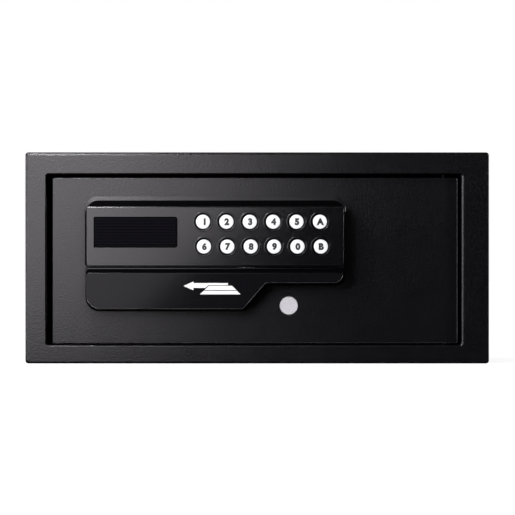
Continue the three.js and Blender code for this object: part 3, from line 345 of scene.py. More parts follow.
def group(name, inputs, outputs):
    """Empty node group with the given sockets."""
    tree = bpy.data.node_groups.new(name, "ShaderNodeTree")
    for title, kind, value in inputs:
        socket = tree.interface.new_socket(title, in_out="INPUT", socket_type=kind)
        if value is not None:
            socket.default_value = value
    for title, kind in outputs:
        tree.interface.new_socket(title, in_out="OUTPUT", socket_type=kind)
    return tree, tree.nodes.new("NodeGroupInput"), tree.nodes.new("NodeGroupOutput")


def noise(tree, vector, scale, detail, roughness=0.5):
    """Noise over the vector; the scale may be a socket."""
    node = tree.nodes.new("ShaderNodeTexNoise")
    node.inputs["Detail"].default_value = detail
    node.inputs["Roughness"].default_value = roughness
    tree.links.new(vector, node.inputs["Vector"])
    if isinstance(scale, bpy.types.NodeSocket):
        tree.links.new(scale, node.inputs["Scale"])
    else:
        node.inputs["Scale"].default_value = scale
    return node.outputs["Fac"]


def spread(tree, value, low, high, to_low=0.0, to_high=1.0):
    """Value between low and high, spread over the new limits; a limit may be a socket."""
    node = tree.nodes.new("ShaderNodeMapRange")
    tree.links.new(value, node.inputs["Value"])
    for title, limit in (("From Min", low), ("From Max", high), ("To Min", to_low), ("To Max", to_high)):
        if isinstance(limit, bpy.types.NodeSocket):
            tree.links.new(limit, node.inputs[title])
        else:
            node.inputs[title].default_value = limit
    return node.outputs["Result"]


def math_node(tree, operation, first, second=0.0):
    """Result of an operation on two numbers or sockets."""
    node = tree.nodes.new("ShaderNodeMath")
    node.operation = operation
    for i, value in enumerate((first, second)):
        if isinstance(value, bpy.types.NodeSocket):
            tree.links.new(value, node.inputs[i])
        else:
            node.inputs[i].default_value = value
    return node.outputs["Value"]


def blended(tree, share, first, second):
    """Colour between two colours or colour sockets by a share."""
    node = tree.nodes.new("ShaderNodeMix")
    node.data_type = "RGBA"
    tree.links.new(share, node.inputs["Factor"])
    for title, colour in (("A", first), ("B", second)):
        socket = next(s for s in node.inputs if s.name == title and s.type == "RGBA")
        if isinstance(colour, bpy.types.NodeSocket):
            tree.links.new(colour, socket)
        else:
            socket.default_value = (*colour, 1)
    return next(s for s in node.outputs if s.type == "RGBA")


def grain_group():
    """Fine grain and slow mottle of a moulded or coated surface."""
    tree, given, out = group("grain", [
        ("Vector", "NodeSocketVector", None), ("Grain Scale", "NodeSocketFloat", 1200.0),
        ("Mottle Scale", "NodeSocketFloat", 30.0),
    ], [("Grain", "NodeSocketFloat"), ("Mottle", "NodeSocketFloat")])
    vector = given.outputs["Vector"]
    fine = noise(tree, vector, given.outputs["Grain Scale"], 2, 0.6)
    slow = noise(tree, vector, given.outputs["Mottle Scale"], 4, 0.55)
    tree.links.new(spread(tree, fine, 0.4, 0.72), out.inputs["Grain"])
    tree.links.new(spread(tree, slow, 0.32, 0.68), out.inputs["Mottle"])
    return tree


def scuff_group():
    """Thin wipe marks and dust that only change the roughness."""
    tree, given, out = group("scuffs", [
        ("Vector", "NodeSocketVector", None), ("Scale", "NodeSocketFloat", 12.0),
    ], [("Mask", "NodeSocketFloat")])
    mapping = tree.nodes.new("ShaderNodeMapping")
    mapping.inputs["Rotation"].default_value = (0.3, 0.5, 0.2)
    mapping.inputs["Scale"].default_value = (1.0, 1.0, 9.0)
    tree.links.new(given.outputs["Vector"], mapping.inputs["Vector"])
    streaks = noise(tree, mapping.outputs["Vector"], given.outputs["Scale"], 6, 0.7)
    tree.links.new(spread(tree, streaks, 0.56, 0.74), out.inputs["Mask"])
    return tree


GRAIN = grain_group()
SCUFFS = scuff_group()


def new_material(name, roughness=0.5, metallic=0.0, specular=0.5):
    """Material with its node tree, its shader and the piece's own coordinates."""
    material = bpy.data.materials.new(name)
    material.use_nodes = True
    tree = material.node_tree
    shader = tree.nodes["Principled BSDF"]
    shader.inputs["Roughness"].default_value = roughness
    shader.inputs["Metallic"].default_value = metallic
    shader.inputs["Specular IOR Level"].default_value = specular
    place = tree.nodes.new("ShaderNodeTexCoord").outputs["Object"]
    return material, tree, shader, place


def use_group(tree, made, **values):
    """Adds a group's node to the tree and sets its inputs."""
    node = tree.nodes.new("ShaderNodeGroup")
    node.node_tree = made
    for title, value in values.items():
        socket = node.inputs[title.replace("_", " ")]
        if isinstance(value, bpy.types.NodeSocket):
            tree.links.new(value, socket)
        else:
            socket.default_value = value
    return node.outputs


def bump(tree, shader, height, depth):
    """Relief of that many metres from the height."""
    node = tree.nodes.new("ShaderNodeBump")
    node.inputs["Distance"].default_value = depth
    node.inputs["Strength"].default_value = 1.0
    tree.links.new(height, node.inputs["Height"])
    tree.links.new(node.outputs["Normal"], shader.inputs["Normal"])


def coated(name, dark, light, grain, mottle, rough, relief, metallic=0.0, specular=0.5, scuffs=0.08):
    """Finish with fine grain: dark and light are the grain's colours, rough the limits of its roughness."""
    material, tree, shader, place = new_material(name, metallic=metallic, specular=specular)
    surface = use_group(tree, GRAIN, Vector=place, Grain_Scale=grain, Mottle_Scale=mottle)
    tree.links.new(blended(tree, surface["Grain"], dark, light), shader.inputs["Base Color"])
    wiped = use_group(tree, SCUFFS, Vector=place, Scale=mottle / 3)["Mask"]
    slow = spread(tree, surface["Mottle"], 0, 1, *rough)
    lifted = math_node(tree, "MULTIPLY_ADD", wiped, scuffs)
    tree.links.new(slow, lifted.node.inputs[2])
    tree.links.new(lifted, shader.inputs["Roughness"])
    bump(tree, shader, surface["Grain"], relief)
    return material


def brushed(name, dark, light, rough, direction, scale=220):
    """Metal with fine lines along one direction."""
    material, tree, shader, place = new_material(name, metallic=1.0)
    mapping = tree.nodes.new("ShaderNodeMapping")
    mapping.inputs["Scale"].default_value = direction
    tree.links.new(place, mapping.inputs["Vector"])
    lines = noise(tree, mapping.outputs["Vector"], scale, 3, 0.6)
    share = spread(tree, lines, 0.3, 0.7)
    tree.links.new(blended(tree, share, dark, light), shader.inputs["Base Color"])
    tree.links.new(spread(tree, share, 0, 1, *rough), shader.inputs["Roughness"])
    bump(tree, shader, share, 0.00001)
    return material


def zinc_plating():
    """Zinc-plated sheet with its soft spangle."""
    material, tree, shader, place = new_material("zinc_plating", metallic=1.0)
    cells = tree.nodes.new("ShaderNodeTexVoronoi")
    cells.inputs["Scale"].default_value = 160
    tree.links.new(place, cells.inputs["Vector"])
    tone = spread(tree, cells.outputs["Color"], 0, 1)
    tree.links.new(blended(tree, tone, (0.46, 0.47, 0.49), (0.62, 0.63, 0.64)), shader.inputs["Base Color"])
    tree.links.new(spread(tree, tone, 0, 1, 0.34, 0.5), shader.inputs["Roughness"])
    bump(tree, shader, noise(tree, place, 900, 2), 0.00002)
    return material


def smoked_pane():
    """Dark display window with the faint lattice of the display behind it."""
    material, tree, shader, place = new_material("smoked_pane", specular=0.015)
    shader.inputs["Roughness"].default_value = 0.16
    parts = tree.nodes.new("ShaderNodeSeparateXYZ")
    tree.links.new(place, parts.inputs["Vector"])
    lines = []
    for axis, faint in (("X", 0.6), ("Z", 0)):
        turns = math_node(tree, "MULTIPLY", parts.outputs[axis], 2 * math.pi / LATTICE_STEP)
        lines.append(spread(tree, math_node(tree, "SINE", turns), -0.4, 1, faint))
    dots = math_node(tree, "MULTIPLY", *lines)
    tree.links.new(blended(tree, dots, (0.0010, 0.0009, 0.0016), (0.0064, 0.0056, 0.0088)),
                   shader.inputs["Base Color"])
    return material


def circuit_green():
    """Solder mask with copper runs under it."""
    material, tree, shader, place = new_material("circuit_green", roughness=0.38)
    parts = tree.nodes.new("ShaderNodeSeparateXYZ")
    tree.links.new(place, parts.inputs["Vector"])
    bend = noise(tree, place, 60, 1)
    runs = math_node(tree, "MULTIPLY_ADD", parts.outputs["Z"], 2 * math.pi / TRACK_STEP)
    tree.links.new(math_node(tree, "MULTIPLY", bend, 14.0), runs.node.inputs[2])
    share = spread(tree, math_node(tree, "SINE", runs), 0.55, 0.75)
    tree.links.new(blended(tree, share, (0.012, 0.09, 0.032), (0.03, 0.17, 0.06)),
                   shader.inputs["Base Color"])
    bump(tree, shader, share, 0.00003)
    return material


def cell_sleeve():
    """Printed sleeve of a battery cell: dark with a plain lighter band at one end."""
    material, tree, shader, place = new_material("cell_sleeve", roughness=0.3)
    parts = tree.nodes.new("ShaderNodeSeparateXYZ")
    tree.links.new(place, parts.inputs["Vector"])
    band = spread(tree, parts.outputs["Z"], *CELL_BAND)
    rub = noise(tree, place, 300, 3)
    tone = blended(tree, spread(tree, rub, 0.35, 0.65), (0.016, 0.018, 0.022), (0.024, 0.026, 0.03))
    tree.links.new(blended(tree, band, tone, (0.42, 0.26, 0.12)), shader.inputs["Base Color"])
    return material


POWDER_COAT = coated("powder_coat", (0.0002, 0.0001, 0.0005), (0.0050, 0.0042, 0.0068), 620, 26,
                     (0.33, 0.365), 0.00009, scuffs=0.02)
# Lighter copy of the powder coat for the inner faces: painted light that brightens the dim interior.
LIGHTENED_INNER_COAT = coated("lightened_inner_coat", (0.006, 0.0057, 0.0066), (0.020, 0.0193, 0.0215), 620, 26,
                    (0.38, 0.44), 0.00008)
# Light metallic finish for the door leaf's bottom rounded edge: a painted highlight, the bright line that
# edge shows though it faces down, away from the lamps.
LOW_EDGE_HIGHLIGHT = coated("low_edge_highlight", (0.42, 0.41, 0.43), (0.70, 0.69, 0.71), 420, 60, (0.56, 0.62), 0.0001,
                   metallic=1.0)
# Lighter finish for the door leaf's right rounded edge: a painted highlight, a thin light line along that
# edge.
RIGHT_EDGE_HIGHLIGHT = coated("right_edge_highlight", (0.34, 0.335, 0.345), (0.62, 0.61, 0.63), 420, 60, (0.5, 0.62), 0.0001,
                     metallic=0.4)
# Light metallic finish for the card reader's downward-facing front edge: a painted highlight along its
# bottom.
READER_EDGE_HIGHLIGHT = coated("reader_edge_highlight", (0.46, 0.455, 0.465), (0.72, 0.71, 0.73), 700, 60, (0.52, 0.58),
                      0.00002, metallic=1.0)
FLANGE = coated("housing_flange", (0.0003, 0.0002, 0.0006), (0.0028, 0.0023, 0.0038), 900, 34, (0.37, 0.41),
                0.00002, specular=0.45)
HOUSING = coated("housing_plastic", (0.0012, 0.0010, 0.0018), (0.0026, 0.0023, 0.0034), 1500, 30,
                 (0.24, 0.28), 0.000015, specular=0.58, scuffs=0.01)
READER = coated("reader_plastic", (0.0038, 0.0035, 0.0046), (0.0056, 0.0052, 0.0068), 1500, 30, (0.16, 0.18),
                0.00001, specular=0.175, scuffs=0.01)
FASCIA = coated("fascia_film", (0.0003, 0.0002, 0.0006), (0.0028, 0.0023, 0.0038), 900, 34, (0.235, 0.265),
                0.00003, specular=0.57, scuffs=0.01)
WINDOW_EDGE = coated("window_edge", (0.0008, 0.0007, 0.0012), (0.0020, 0.0018, 0.0027), 1500, 30,
                     (0.26, 0.30), 0.00001, specular=0.42)
# Matt finish for the housings' side-facing walls, with a colour darker than the housing plastic: the matt
# roughness is the walls' own, the darker colour is painted shade.
MATT_WALL_SHADED = coated("matt_plastic_wall_shaded", (0.0004, 0.0003, 0.0006), (0.0009, 0.0008, 0.0012), 1500, 30,
                   (0.7, 0.78), 0.00002, specular=0.02)
# Near-black matt finish for the window recess walls, the keys' sides and the gasket lip: painted shade in the
# recess, in the gaps round the keys and below the card reader.
SHADE_BLACK = coated("shade_black", (0.0008, 0.0008, 0.0009), (0.0016, 0.0016, 0.0018), 1500, 30,
                    (0.8, 0.9), 0.00002, specular=0.03)
WHITE_KEY = coated("white_key", (0.83, 0.835, 0.84), (0.86, 0.865, 0.87), 900, 60, (0.34, 0.42), 0.000008,
                   specular=0.4)
CAP_GREY = coated("cap_grey", (0.50, 0.49, 0.52), (0.68, 0.67, 0.70), 1100, 200, (0.55, 0.65), 0.00004,
                  specular=0.3)
INK = coated("legend_ink", (0.010, 0.010, 0.012), (0.018, 0.018, 0.020), 2000, 120, (0.5, 0.6), 0.000004)
WHITE_PRINT = coated("white_print", (0.82, 0.82, 0.83), (0.88, 0.88, 0.88), 2000, 120, (0.5, 0.6), 0.000004)
FELT = coated("felt", (0.022, 0.022, 0.024), (0.055, 0.055, 0.058), 2600, 40, (0.9, 0.98), 0.0003,
              specular=0.2)
RUBBER = coated("rubber", (0.006, 0.006, 0.007), (0.011, 0.011, 0.012), 1600, 50, (0.75, 0.88), 0.00003,
                specular=0.3)
INNER_PLASTIC = coated("inner_plastic", (0.008, 0.008, 0.009), (0.014, 0.014, 0.015), 1400, 40, (0.5, 0.6),
                       0.00003)
GEAR_PLASTIC = coated("gear_plastic", (0.70, 0.66, 0.56), (0.78, 0.74, 0.65), 800, 60, (0.42, 0.5), 0.00001)
BRASS = brushed("brass", (0.56, 0.37, 0.12), (0.68, 0.47, 0.18), (0.26, 0.36), (1, 5, 1))
BRIGHT_STEEL = brushed("bright_steel", (0.52, 0.52, 0.53), (0.66, 0.66, 0.67), (0.18, 0.3), (7, 1, 1))
BLACK_STEEL = brushed("black_steel", (0.012, 0.012, 0.013), (0.022, 0.022, 0.023), (0.5, 0.6), (1, 1, 6))
ZINC = zinc_plating()
PANE = smoked_pane()
CIRCUIT = circuit_green()
SLEEVE = cell_sleeve()


def dress_cad_nodes():
    """Finishes of the CAD nodes, also of those that a finer piece stands for."""
    finishes = {
        POWDER_COAT: ["cabinet_shell", "front_frame", "rear_panel", "bolt_keeper", "door_plate", "door_pan",
                      "door_inner_cover", "hinge_bracket_upper", "hinge_bracket_lower", "hinge_knuckle_upper",
                      "hinge_knuckle_lower"],
        BLACK_STEEL: ["hinge_pin_upper", "hinge_pin_lower"],
        ZINC: ["motor_bracket", "bolt_guide", "lock_barrel", "bolt_plate", "lock_cam"],
        BRIGHT_STEEL: ["motor_can", "lock_nut", "magnetic_head", "bolt_upper", "bolt_lower"],
        FELT: ["floor_mat"],
        RUBBER: ["anchor_plug_rear_left", "anchor_plug_rear_right", "anchor_plug_floor_left",
                 "anchor_plug_floor_right", "unit_gasket", "key_mat"],
        INNER_PLASTIC: ["gearbox", "battery_tray", "battery_cover", "card_guide", "display_module"],
        CIRCUIT: ["control_board", "keypad_board"],
        SLEEVE: [f"battery_cell_{i}" for i in range(1, 5)],
        HOUSING: ["keypad_housing", "reader_housing"],
        FASCIA: ["keypad_fascia"],
        PANE: ["display_window"],
        GEAR_PLASTIC: ["drive_pinion"],
        BRASS: ["lock_plug"],
        CAP_GREY: ["key_cover"],
        WHITE_KEY: [f"key_{mark}" for mark in "".join(KEY_ROWS)],
    }
    for material, names in finishes.items():
        for name in names:
            mesh = frame["nodes"][name].data
            mesh.materials.clear()
            mesh.materials.append(material)


# Pieces


def front_frame():
    """Folded frame with its rolled lip round the doorway."""
    low, high = span("front_frame")
    bm = bmesh.new()
    skirt = [rounded_loop(bm, rectangle(low.x, high.x, low.z, high.z, OUTER_BEND), low.y + FRAME_SKIRT)]
    for step in range(FOLD_STEPS, -1, -1):
        angle = step / FOLD_STEPS * math.pi / 2
        rise = 1 - math.cos(angle)
        share = 1 - math.sin(angle)
        inset = [fold * share for fold in FRAME_FOLD]
        inset[2] = FRAME_FOLD[2] * (1 - rise ** 0.5)
        corners = rectangle(low.x + inset[0], high.x - inset[1], low.z + inset[2], high.z - inset[3],
                            OUTER_BEND - BEND_LOSS * share)
        skirt.append(rounded_loop(bm, corners, low.y + FOLD_DEPTH * rise))
    left, right, bottom, top = DOORWAY
    lip = []
    for step in range(FOLD_STEPS + 1):
        angle = step / FOLD_STEPS * math.pi / 2
        out = [roll * (1 - math.sin(angle)) for roll in LIP_ROLL]
        corners = rectangle(left - out[0], right + out[1], bottom - out[2], top + out[3], DOORWAY_CORNER)
        lip.append(rounded_loop(bm, corners, low.y + LIP_DEPTH * (1 - math.cos(angle))))
    lip.append(rounded_loop(bm, rectangle(*DOORWAY, DOORWAY_CORNER), high.y))
    chain(bm, [*skirt, *lip])
    bmesh.ops.recalc_face_normals(bm, faces=bm.faces)
    if max(bm.faces, key=lambda f: f.calc_area()).normal.y > 0:
        bmesh.ops.reverse_faces(bm, faces=bm.faces)
    bmesh.ops.solidify(bm, geom=bm.faces[:], thickness=FRAME_WALL)
    finished(bm, "folded_front_frame", "cabinet", POWDER_COAT, ["front_frame"])


def keypad_housing():
    """Moulded shell of the keypad with its sloping top, rim and seat for the fascia."""
    low, high = span("keypad_housing")
    ledge_front = span("keypad_fascia")[1].y + REST_GAP
    ledge_back = ledge_front + LEDGE_THICKNESS
    left, right, bottom, top = low.x + SIDE_SLOPE, high.x - SIDE_SLOPE, low.z, high.z - TOP_SLOPE

    def foot(y, rise=0, inset=0):
        side = rise / FLANGE_SIDE_DIVISOR
        corners = rectangle(low.x - side, high.x + side, low.z, high.z + rise, FOOT_CORNER, inset)
        middle = (bottom + top) / 2
        return rounded_loop(bm, [(x, z, bend if z > middle else FOOT_LOW_CORNER)
                                 for x, z, bend in corners], y)

    def face(y, inset=0):
        return rounded_loop(bm, rectangle(left, right, bottom, top, FACE_CORNER, inset), y)

    bm = bmesh.new()
    back = high.y + FLANGE_REACH
    edge = [rounded_loop(bm, rectangle(left + FACE_SIDES[0] + inset, right - FACE_SIDES[1] - inset,
                                       bottom + FACE_BOTTOM_SHARE * inset, top + rise, FACE_CORNER),
                         low.y + depth)
            for inset, rise, depth in FACE_EDGE]
    chain(bm, [
        foot(back, FOOT_FLANGE), foot(back - FLANGE_EDGE, FOOT_FLANGE), foot(back - FLANGE_THICKNESS), *edge,
        face(low.y, RIM), face(ledge_front, RIM), face(ledge_front, RIM + LEDGE),
        face(ledge_back, RIM + LEDGE), face(ledge_back, HOUSING_WALL), foot(high.y, 0, HOUSING_WALL),
        foot(high.y, 0, HOUSING_BACK_INSET), foot(back, 0, HOUSING_BACK_INSET),
    ], closed=True)
    shell = finished(bm, "keypad_shell", "door", HOUSING, ["keypad_housing"])
    # side-facing walls, the sloping top among them, get the matt finish with painted shade
    repainted(shell, MATT_WALL_SHADED, wall)
    repainted(shell, FLANGE, lambda face: not wall(face) and face.center.y > (back - FLANGE_ZONE) * MM)


def key_places():
    """Middle and front plane of each key."""
    for mark in "".join(KEY_ROWS):
        low, high = span(f"key_{mark}")
        yield mark, (low.x + high.x) / 2, (low.z + high.z) / 2, low.y


def circle_loop(bm, x, z, y, radius, steps=KEY_STEPS):
    """Closed run of edges round (x, z) in the plane at y."""
    turn = Matrix.Translation((x, y, z)) @ Matrix.Rotation(math.pi / 2, 4, "X")
    verts = bmesh.ops.create_circle(bm, segments=steps, radius=radius, matrix=turn)["verts"]
    return list({e for v in verts for e in v.link_edges})


def fascia():
    """Front sheet of the keypad with a raised collar round each key."""
    low, high = span("keypad_fascia")
    window_low, window_high = span("display_window")

    def opening(inset=0):
        corners = rectangle(*WINDOW_OPENING, WINDOW_CORNER, inset)
        middle = (window_low.x + window_high.x) / 2
        return [(x, z, bend if x < middle else bend + WINDOW_RIGHT_GROWTH) for x, z, bend in corners]

    pane = rectangle(window_low.x, window_high.x, window_low.z, window_high.z, WINDOW_CORNER, PANE_OVERLAP)
    slope = [(opening(), 0), (opening(WINDOW_EASE), WINDOW_EASE_DEPTH),
             (pane, window_low.y - low.y - PANE_GAP)]
    bm = bmesh.new()
    edges = rounded_loop(bm, rectangle(low.x, high.x, low.z, high.z, SHEET_CORNER, -SEAT_GAP), low.y, 3)
    edges += rounded_loop(bm, slope[0][0], low.y)
    for _, x, z, _ in key_places():
        edges += circle_loop(bm, x, z, low.y, COLLAR)
    bmesh.ops.triangle_fill(bm, edges=edges, use_beauty=True, use_dissolve=False)
    bmesh.ops.recalc_face_normals(bm, faces=bm.faces)
    if bm.faces[:][0].normal.y > 0:
        bmesh.ops.reverse_faces(bm, faces=bm.faces)
    bmesh.ops.solidify(bm, geom=bm.faces[:], thickness=high.y - low.y)
    finished(bm, "keypad_front_sheet", "door", FASCIA, ["keypad_fascia"])
    bm = bmesh.new()
    chain(bm, [rounded_loop(bm, corners, low.y + depth) for corners, depth in slope])
    bmesh.ops.recalc_face_normals(bm, faces=bm.faces)
    if max(bm.faces, key=lambda f: -f.normal.y).normal.y > -0.1:
        bmesh.ops.reverse_faces(bm, faces=bm.faces)
    bevel = finished(bm, "window_bevel", "door", WINDOW_EDGE)
    # the recess walls behind the window's eased edge get painted shade
    repainted(bevel, SHADE_BLACK, lambda face: face.center.y > (low.y + WINDOW_EASE_DEPTH) * MM)
    key_collars(low.y, high.y)


def key_collars(front, back):
    """Half-round bead round each key's hole."""
    middle, reach = (KEY_HOLE + COLLAR) / 2, (COLLAR - KEY_HOLE) / 2
    crest = [math.pi * (1 - step / COLLAR_STEPS) for step in range(COLLAR_STEPS + 1)]
    bead = [(middle + reach * math.cos(turn), front - COLLAR_HEIGHT * math.sin(turn)) for turn in crest]
    for mark, x, z, _ in key_places():
        collar = turned([(KEY_HOLE, back), *bead, (COLLAR, back), (KEY_HOLE, back)], x, z, KEY_STEPS)
        finished(collar, f"key_collar_{mark}", "door", FASCIA)


def keys():
    """White keys with their printed marks."""
    for mark, x, z, front in key_places():
        node = f"key_{mark}"
        back = span(node)[1].y
        flange, roof = back - KEY_FLANGE_THICKNESS, front + KEY_ROOF
        crown = [(0, front), (KEY_FLAT, front)]
        for step in range(1, KEY_CROWN_STEPS + 1):
            angle = step / KEY_CROWN_STEPS * math.pi / 2
            crown.append((KEY_FLAT + (KEY_RADIUS - KEY_FLAT) * math.sin(angle),
                          front + KEY_CROWN * (1 - math.cos(angle))))
        profile = crown + [(KEY_RADIUS, flange), (KEY_FLANGE, flange), (KEY_FLANGE, back), (KEY_BORE, back),
                           (KEY_BORE, roof), (0, roof)]
        body = frame["nodes"][node]["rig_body"]
        key = finished(turned(profile, x, z), f"push_key_{mark}", body, WHITE_KEY, [node])
        # the key's sides behind its white front get painted shade, which darkens the gap round the key
        repainted(key, SHADE_BLACK, lambda face: face.center.y > (front + KEY_WHITE_DEPTH) * MM)
        shift = LEGEND_SHIFT_OF_1 if mark == "1" else LEGEND_SHIFT
        printed(mark.upper(), f"legend_{mark}", body, (x + shift, front, z))


def printed(text, name, body, place):
    """A printed character that stands on the surface by the thickness of its ink."""
    curve = bpy.data.curves.new(name, "FONT")
    curve.body = text
    curve.size = LEGEND_SIZE * MM
    curve.offset = (LEGEND_WEIGHT_OF_8 if text == "8" else LEGEND_WEIGHT) * LEGEND_SIZE * MM
    curve.extrude = PRINT * MM
    curve.resolution_u = 6
    curve.align_x = "CENTER"
    curve.align_y = "CENTER"
    source = bpy.data.objects.new(name + "_curve", curve)
    bpy.context.scene.collection.objects.link(source)
    mesh = bpy.data.meshes.new_from_object(source.evaluated_get(bpy.context.evaluated_depsgraph_get()))
    bpy.data.objects.remove(source)
    mesh.name = name
    x_values = [v.co.x for v in mesh.vertices]
    y_values = [v.co.y for v in mesh.vertices]
    centred = Vector(((min(x_values) + max(x_values)) / 2, (min(y_values) + max(y_values)) / 2, 0))
    upright = Matrix.Rotation(math.pi / 2, 4, "X") @ Matrix.Translation(-centred)
    mesh.transform(Matrix.Translation(Vector(place) * MM) @ upright)
    placed(mesh, name, body, INK)


def reader_loop(bm, top, y, draft=0):
    """Outline of the card reader's housing up to the given top, drawn in by the draft."""
    low, high = span("reader_housing")
    left, right = low.x + draft, high.x - END_DRAFT * draft
    shoulder, bottom = high.z - SHOULDER + SHOULDER_DRAFT * draft, low.z + BOTTOM_DRAFT * draft
    tab = left + TAB_WIDTH - 2 * draft
    return rounded_loop(bm, [
        (left, bottom, TAB_LEFT_CORNER), (tab, bottom, TAB_CORNER),
        (tab + TAB_DIAGONAL, shoulder, TAB_CORNER), (right, shoulder, SHOULDER_CORNER),
        (right, top, READER_TOP_CORNERS[1]), (left, top, READER_TOP_CORNERS[0]),
    ], y, 8)


def reader_housing():
    """Moulded shell of the card reader, bevelled towards the slot."""
    low, high = span("reader_housing")
    shelf = low.y + BEVEL_DEPTH
    bm = bmesh.new()
    front = reader_loop(bm, high.z - BEVEL_HEIGHT, low.y, READER_DRAFT)
    crest = high.z - TOP_DROP
    chain(bm, [
        reader_loop(bm, high.z, high.y + FLANGE_REACH),
        *[reader_loop(bm, crest - drop, shelf + depth, draft) for drop, depth, draft in LAND_EDGE], front,
    ])
    fill(bm, front)
    bmesh.ops.bevel(bm, geom=[e for e in front if e.is_valid], offset=READER_EDGE, offset_type="OFFSET",
                    segments=4, profile=0.5, affect="EDGES", material=-1)
    bmesh.ops.recalc_face_normals(bm, faces=bm.faces)
    if max(bm.faces, key=lambda f: f.calc_area()).normal.y > 0:
        bmesh.ops.reverse_faces(bm, faces=bm.faces)
    bmesh.ops.solidify(bm, geom=bm.faces[:], thickness=READER_WALL)
    shell = finished(bm, "card_reader_shell", "door", READER, ["reader_housing"])
    # side-facing walls get the matt finish with painted shade
    repainted(shell, MATT_WALL_SHADED, wall)
    repainted(shell, WINDOW_EDGE, lambda face: not wall(face) and
              abs(face.center.y / MM - shelf) < LAND_ZONE)
    # the downward-facing rounded edge of the front gets a painted highlight
    repainted(shell, READER_EDGE_HIGHLIGHT, lambda face: -0.95 < face.normal.y < -0.3 and face.normal.z < -0.2 and
              face.center.y < (low.y + READER_EDGE_ZONE) * MM)


def gasket_lip():
    """Black lip of the unit's gasket below the card reader, widened so that it also stands in for the shadow
    there: partly gasket, partly painted shadow.
    """
    low, high = span("reader_housing")
    bm = bmesh.new()
    loops = []
    left, right, top = low.x, high.x, high.z - GASKET_TOP_DROP
    for depth, inset in GASKET_LAYERS:
        out = GASKET_LIP - inset
        bottom, shoulder = low.z - out, high.z - SHOULDER - out
        tab = left + TAB_WIDTH + GASKET_DIAGONAL_SHARE * out
        loops.append(rounded_loop(bm, [
            (left, bottom, TAB_LEFT_CORNER), (tab, bottom, TAB_CORNER),
            (tab + TAB_DIAGONAL, shoulder, TAB_CORNER), (right, shoulder, GASKET_SHOULDER_CORNER),
            (right, top, GASKET_TOP_CORNER), (left, top, GASKET_TOP_CORNER),
        ], high.y + depth, 8))
    chain(bm, loops)
    fill(bm, loops[0])
    fill(bm, loops[-1])
    # near-black: the lip is partly the gasket and partly a painted shadow line under the reader
    finished(bm, "gasket_lip", "door", SHADE_BLACK)


def flat_mark(points, name, y):
    """Printed flat shape on the card reader's front."""
    bm = bmesh.new()
    face = bm.faces.new([bm.verts.new((x, y, z)) for x, z in points])
    rim = bmesh.ops.extrude_face_region(bm, geom=[face])["geom"]
    bmesh.ops.translate(bm, vec=(0, -PRINT, 0), verts=[g for g in rim if isinstance(g, bmesh.types.BMVert)])
    finished(bm, name, "door", WHITE_PRINT)


def swipe_marks():
    """Plain arrow over a card, which shows which way the card goes."""
    front = span("reader_housing")[0].y
    for name, outline in SWIPE_MARKS.items():
        flat_mark([((column - MARK_ORIGIN[0]) * PIXEL, (MARK_ORIGIN[1] - row) * PIXEL)
                   for column, row in outline], name, front)


def key_cap():
    """Round cap over the keyhole."""
    low, high = span("key_cover")
    x, z = (low.x + high.x) / 2, (low.z + high.z) / 2
    radius, head = (high.x - low.x) / 2 - CAP_MARGIN, low.y + CAP_HEAD
    profile = [(0, low.y)]
    for step in range(CAP_EDGE_STEPS + 1):
        angle = step / CAP_EDGE_STEPS * math.pi / 2
        profile.append((radius - CAP_EDGE * (1 - math.sin(angle)), low.y + CAP_EDGE * (1 - math.cos(angle))))
    profile += [(radius, head), (CAP_STUB, head), (CAP_STUB, high.y), (0, high.y)]
    finished(turned(profile, x, z), "keyhole_cap", "key_cover", CAP_GREY, ["key_cover"])


def eased(node, width, material):
    """Copy of a CAD node with its sharp edges rounded."""
    source = frame["nodes"][node]
    bm = bmesh.new()
    bm.from_mesh(source.data)
    bmesh.ops.scale(bm, vec=(1 / MM, 1 / MM, 1 / MM), verts=bm.verts)
    bmesh.ops.remove_doubles(bm, verts=bm.verts, dist=MERGE_DISTANCE)
    bmesh.ops.dissolve_limit(bm, angle_limit=math.radians(1), verts=bm.verts, edges=bm.edges)
    soften(bm, width)
    return finished(bm, f"{node}_eased", source["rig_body"], material, [node])


def sheet_metal():
    """Door leaf, walls, panels and covers with the rounded edges that a coat of paint gives them; the leaf's
    bottom and right edges get painted highlights, and the inner faces a lighter coat as painted light.
    """
    door = eased("door_plate", LEAF_EDGE, POWDER_COAT)
    low, high = span("door_plate")
    front, bottom = (low.y + DOOR_EDGE_ZONE) * MM, (low.z + DOOR_EDGE_ZONE) * MM
    right = (high.x - DOOR_EDGE_ZONE) * MM
    bevel = {face.index for face in door.data.polygons
             if face.center.y < front and -0.95 < face.normal.y < -0.2}
    # painted highlight on the leaf's bottom rounded edge
    repainted(door, LOW_EDGE_HIGHLIGHT, lambda face: face.index in bevel and face.center.z < bottom)
    # painted highlight on the leaf's right rounded edge
    repainted(door, RIGHT_EDGE_HIGHLIGHT, lambda face: face.index in bevel and face.center.x > right)
    for vert in door.data.vertices:
        if vert.co.x > right:
            vert.co.x += DOOR_GROWTH * MM
    low, high = span("cabinet_shell")
    shell = eased("cabinet_shell", WALL_EDGE, POWDER_COAT)
    # inner faces of the walls get the lighter coat, painted light for the interior
    repainted(shell, LIGHTENED_INNER_COAT, lambda face: all(
        low[i] + OUTER_ZONE < face.center[i] / MM < high[i] - OUTER_ZONE for i in (0, 2)))
    rear = eased("rear_panel", WALL_EDGE, POWDER_COAT)
    # the rear panel's inner face gets the lighter coat, painted light
    repainted(rear, LIGHTENED_INNER_COAT, lambda face: face.normal.y < -0.5)
    # the pan and the inner cover get the lighter coat, painted light
    eased("door_pan", PAN_EDGE, LIGHTENED_INNER_COAT)
    eased("door_inner_cover", COVER_EDGE, LIGHTENED_INNER_COAT)
    eased("battery_cover", COVER_EDGE, INNER_PLASTIC)


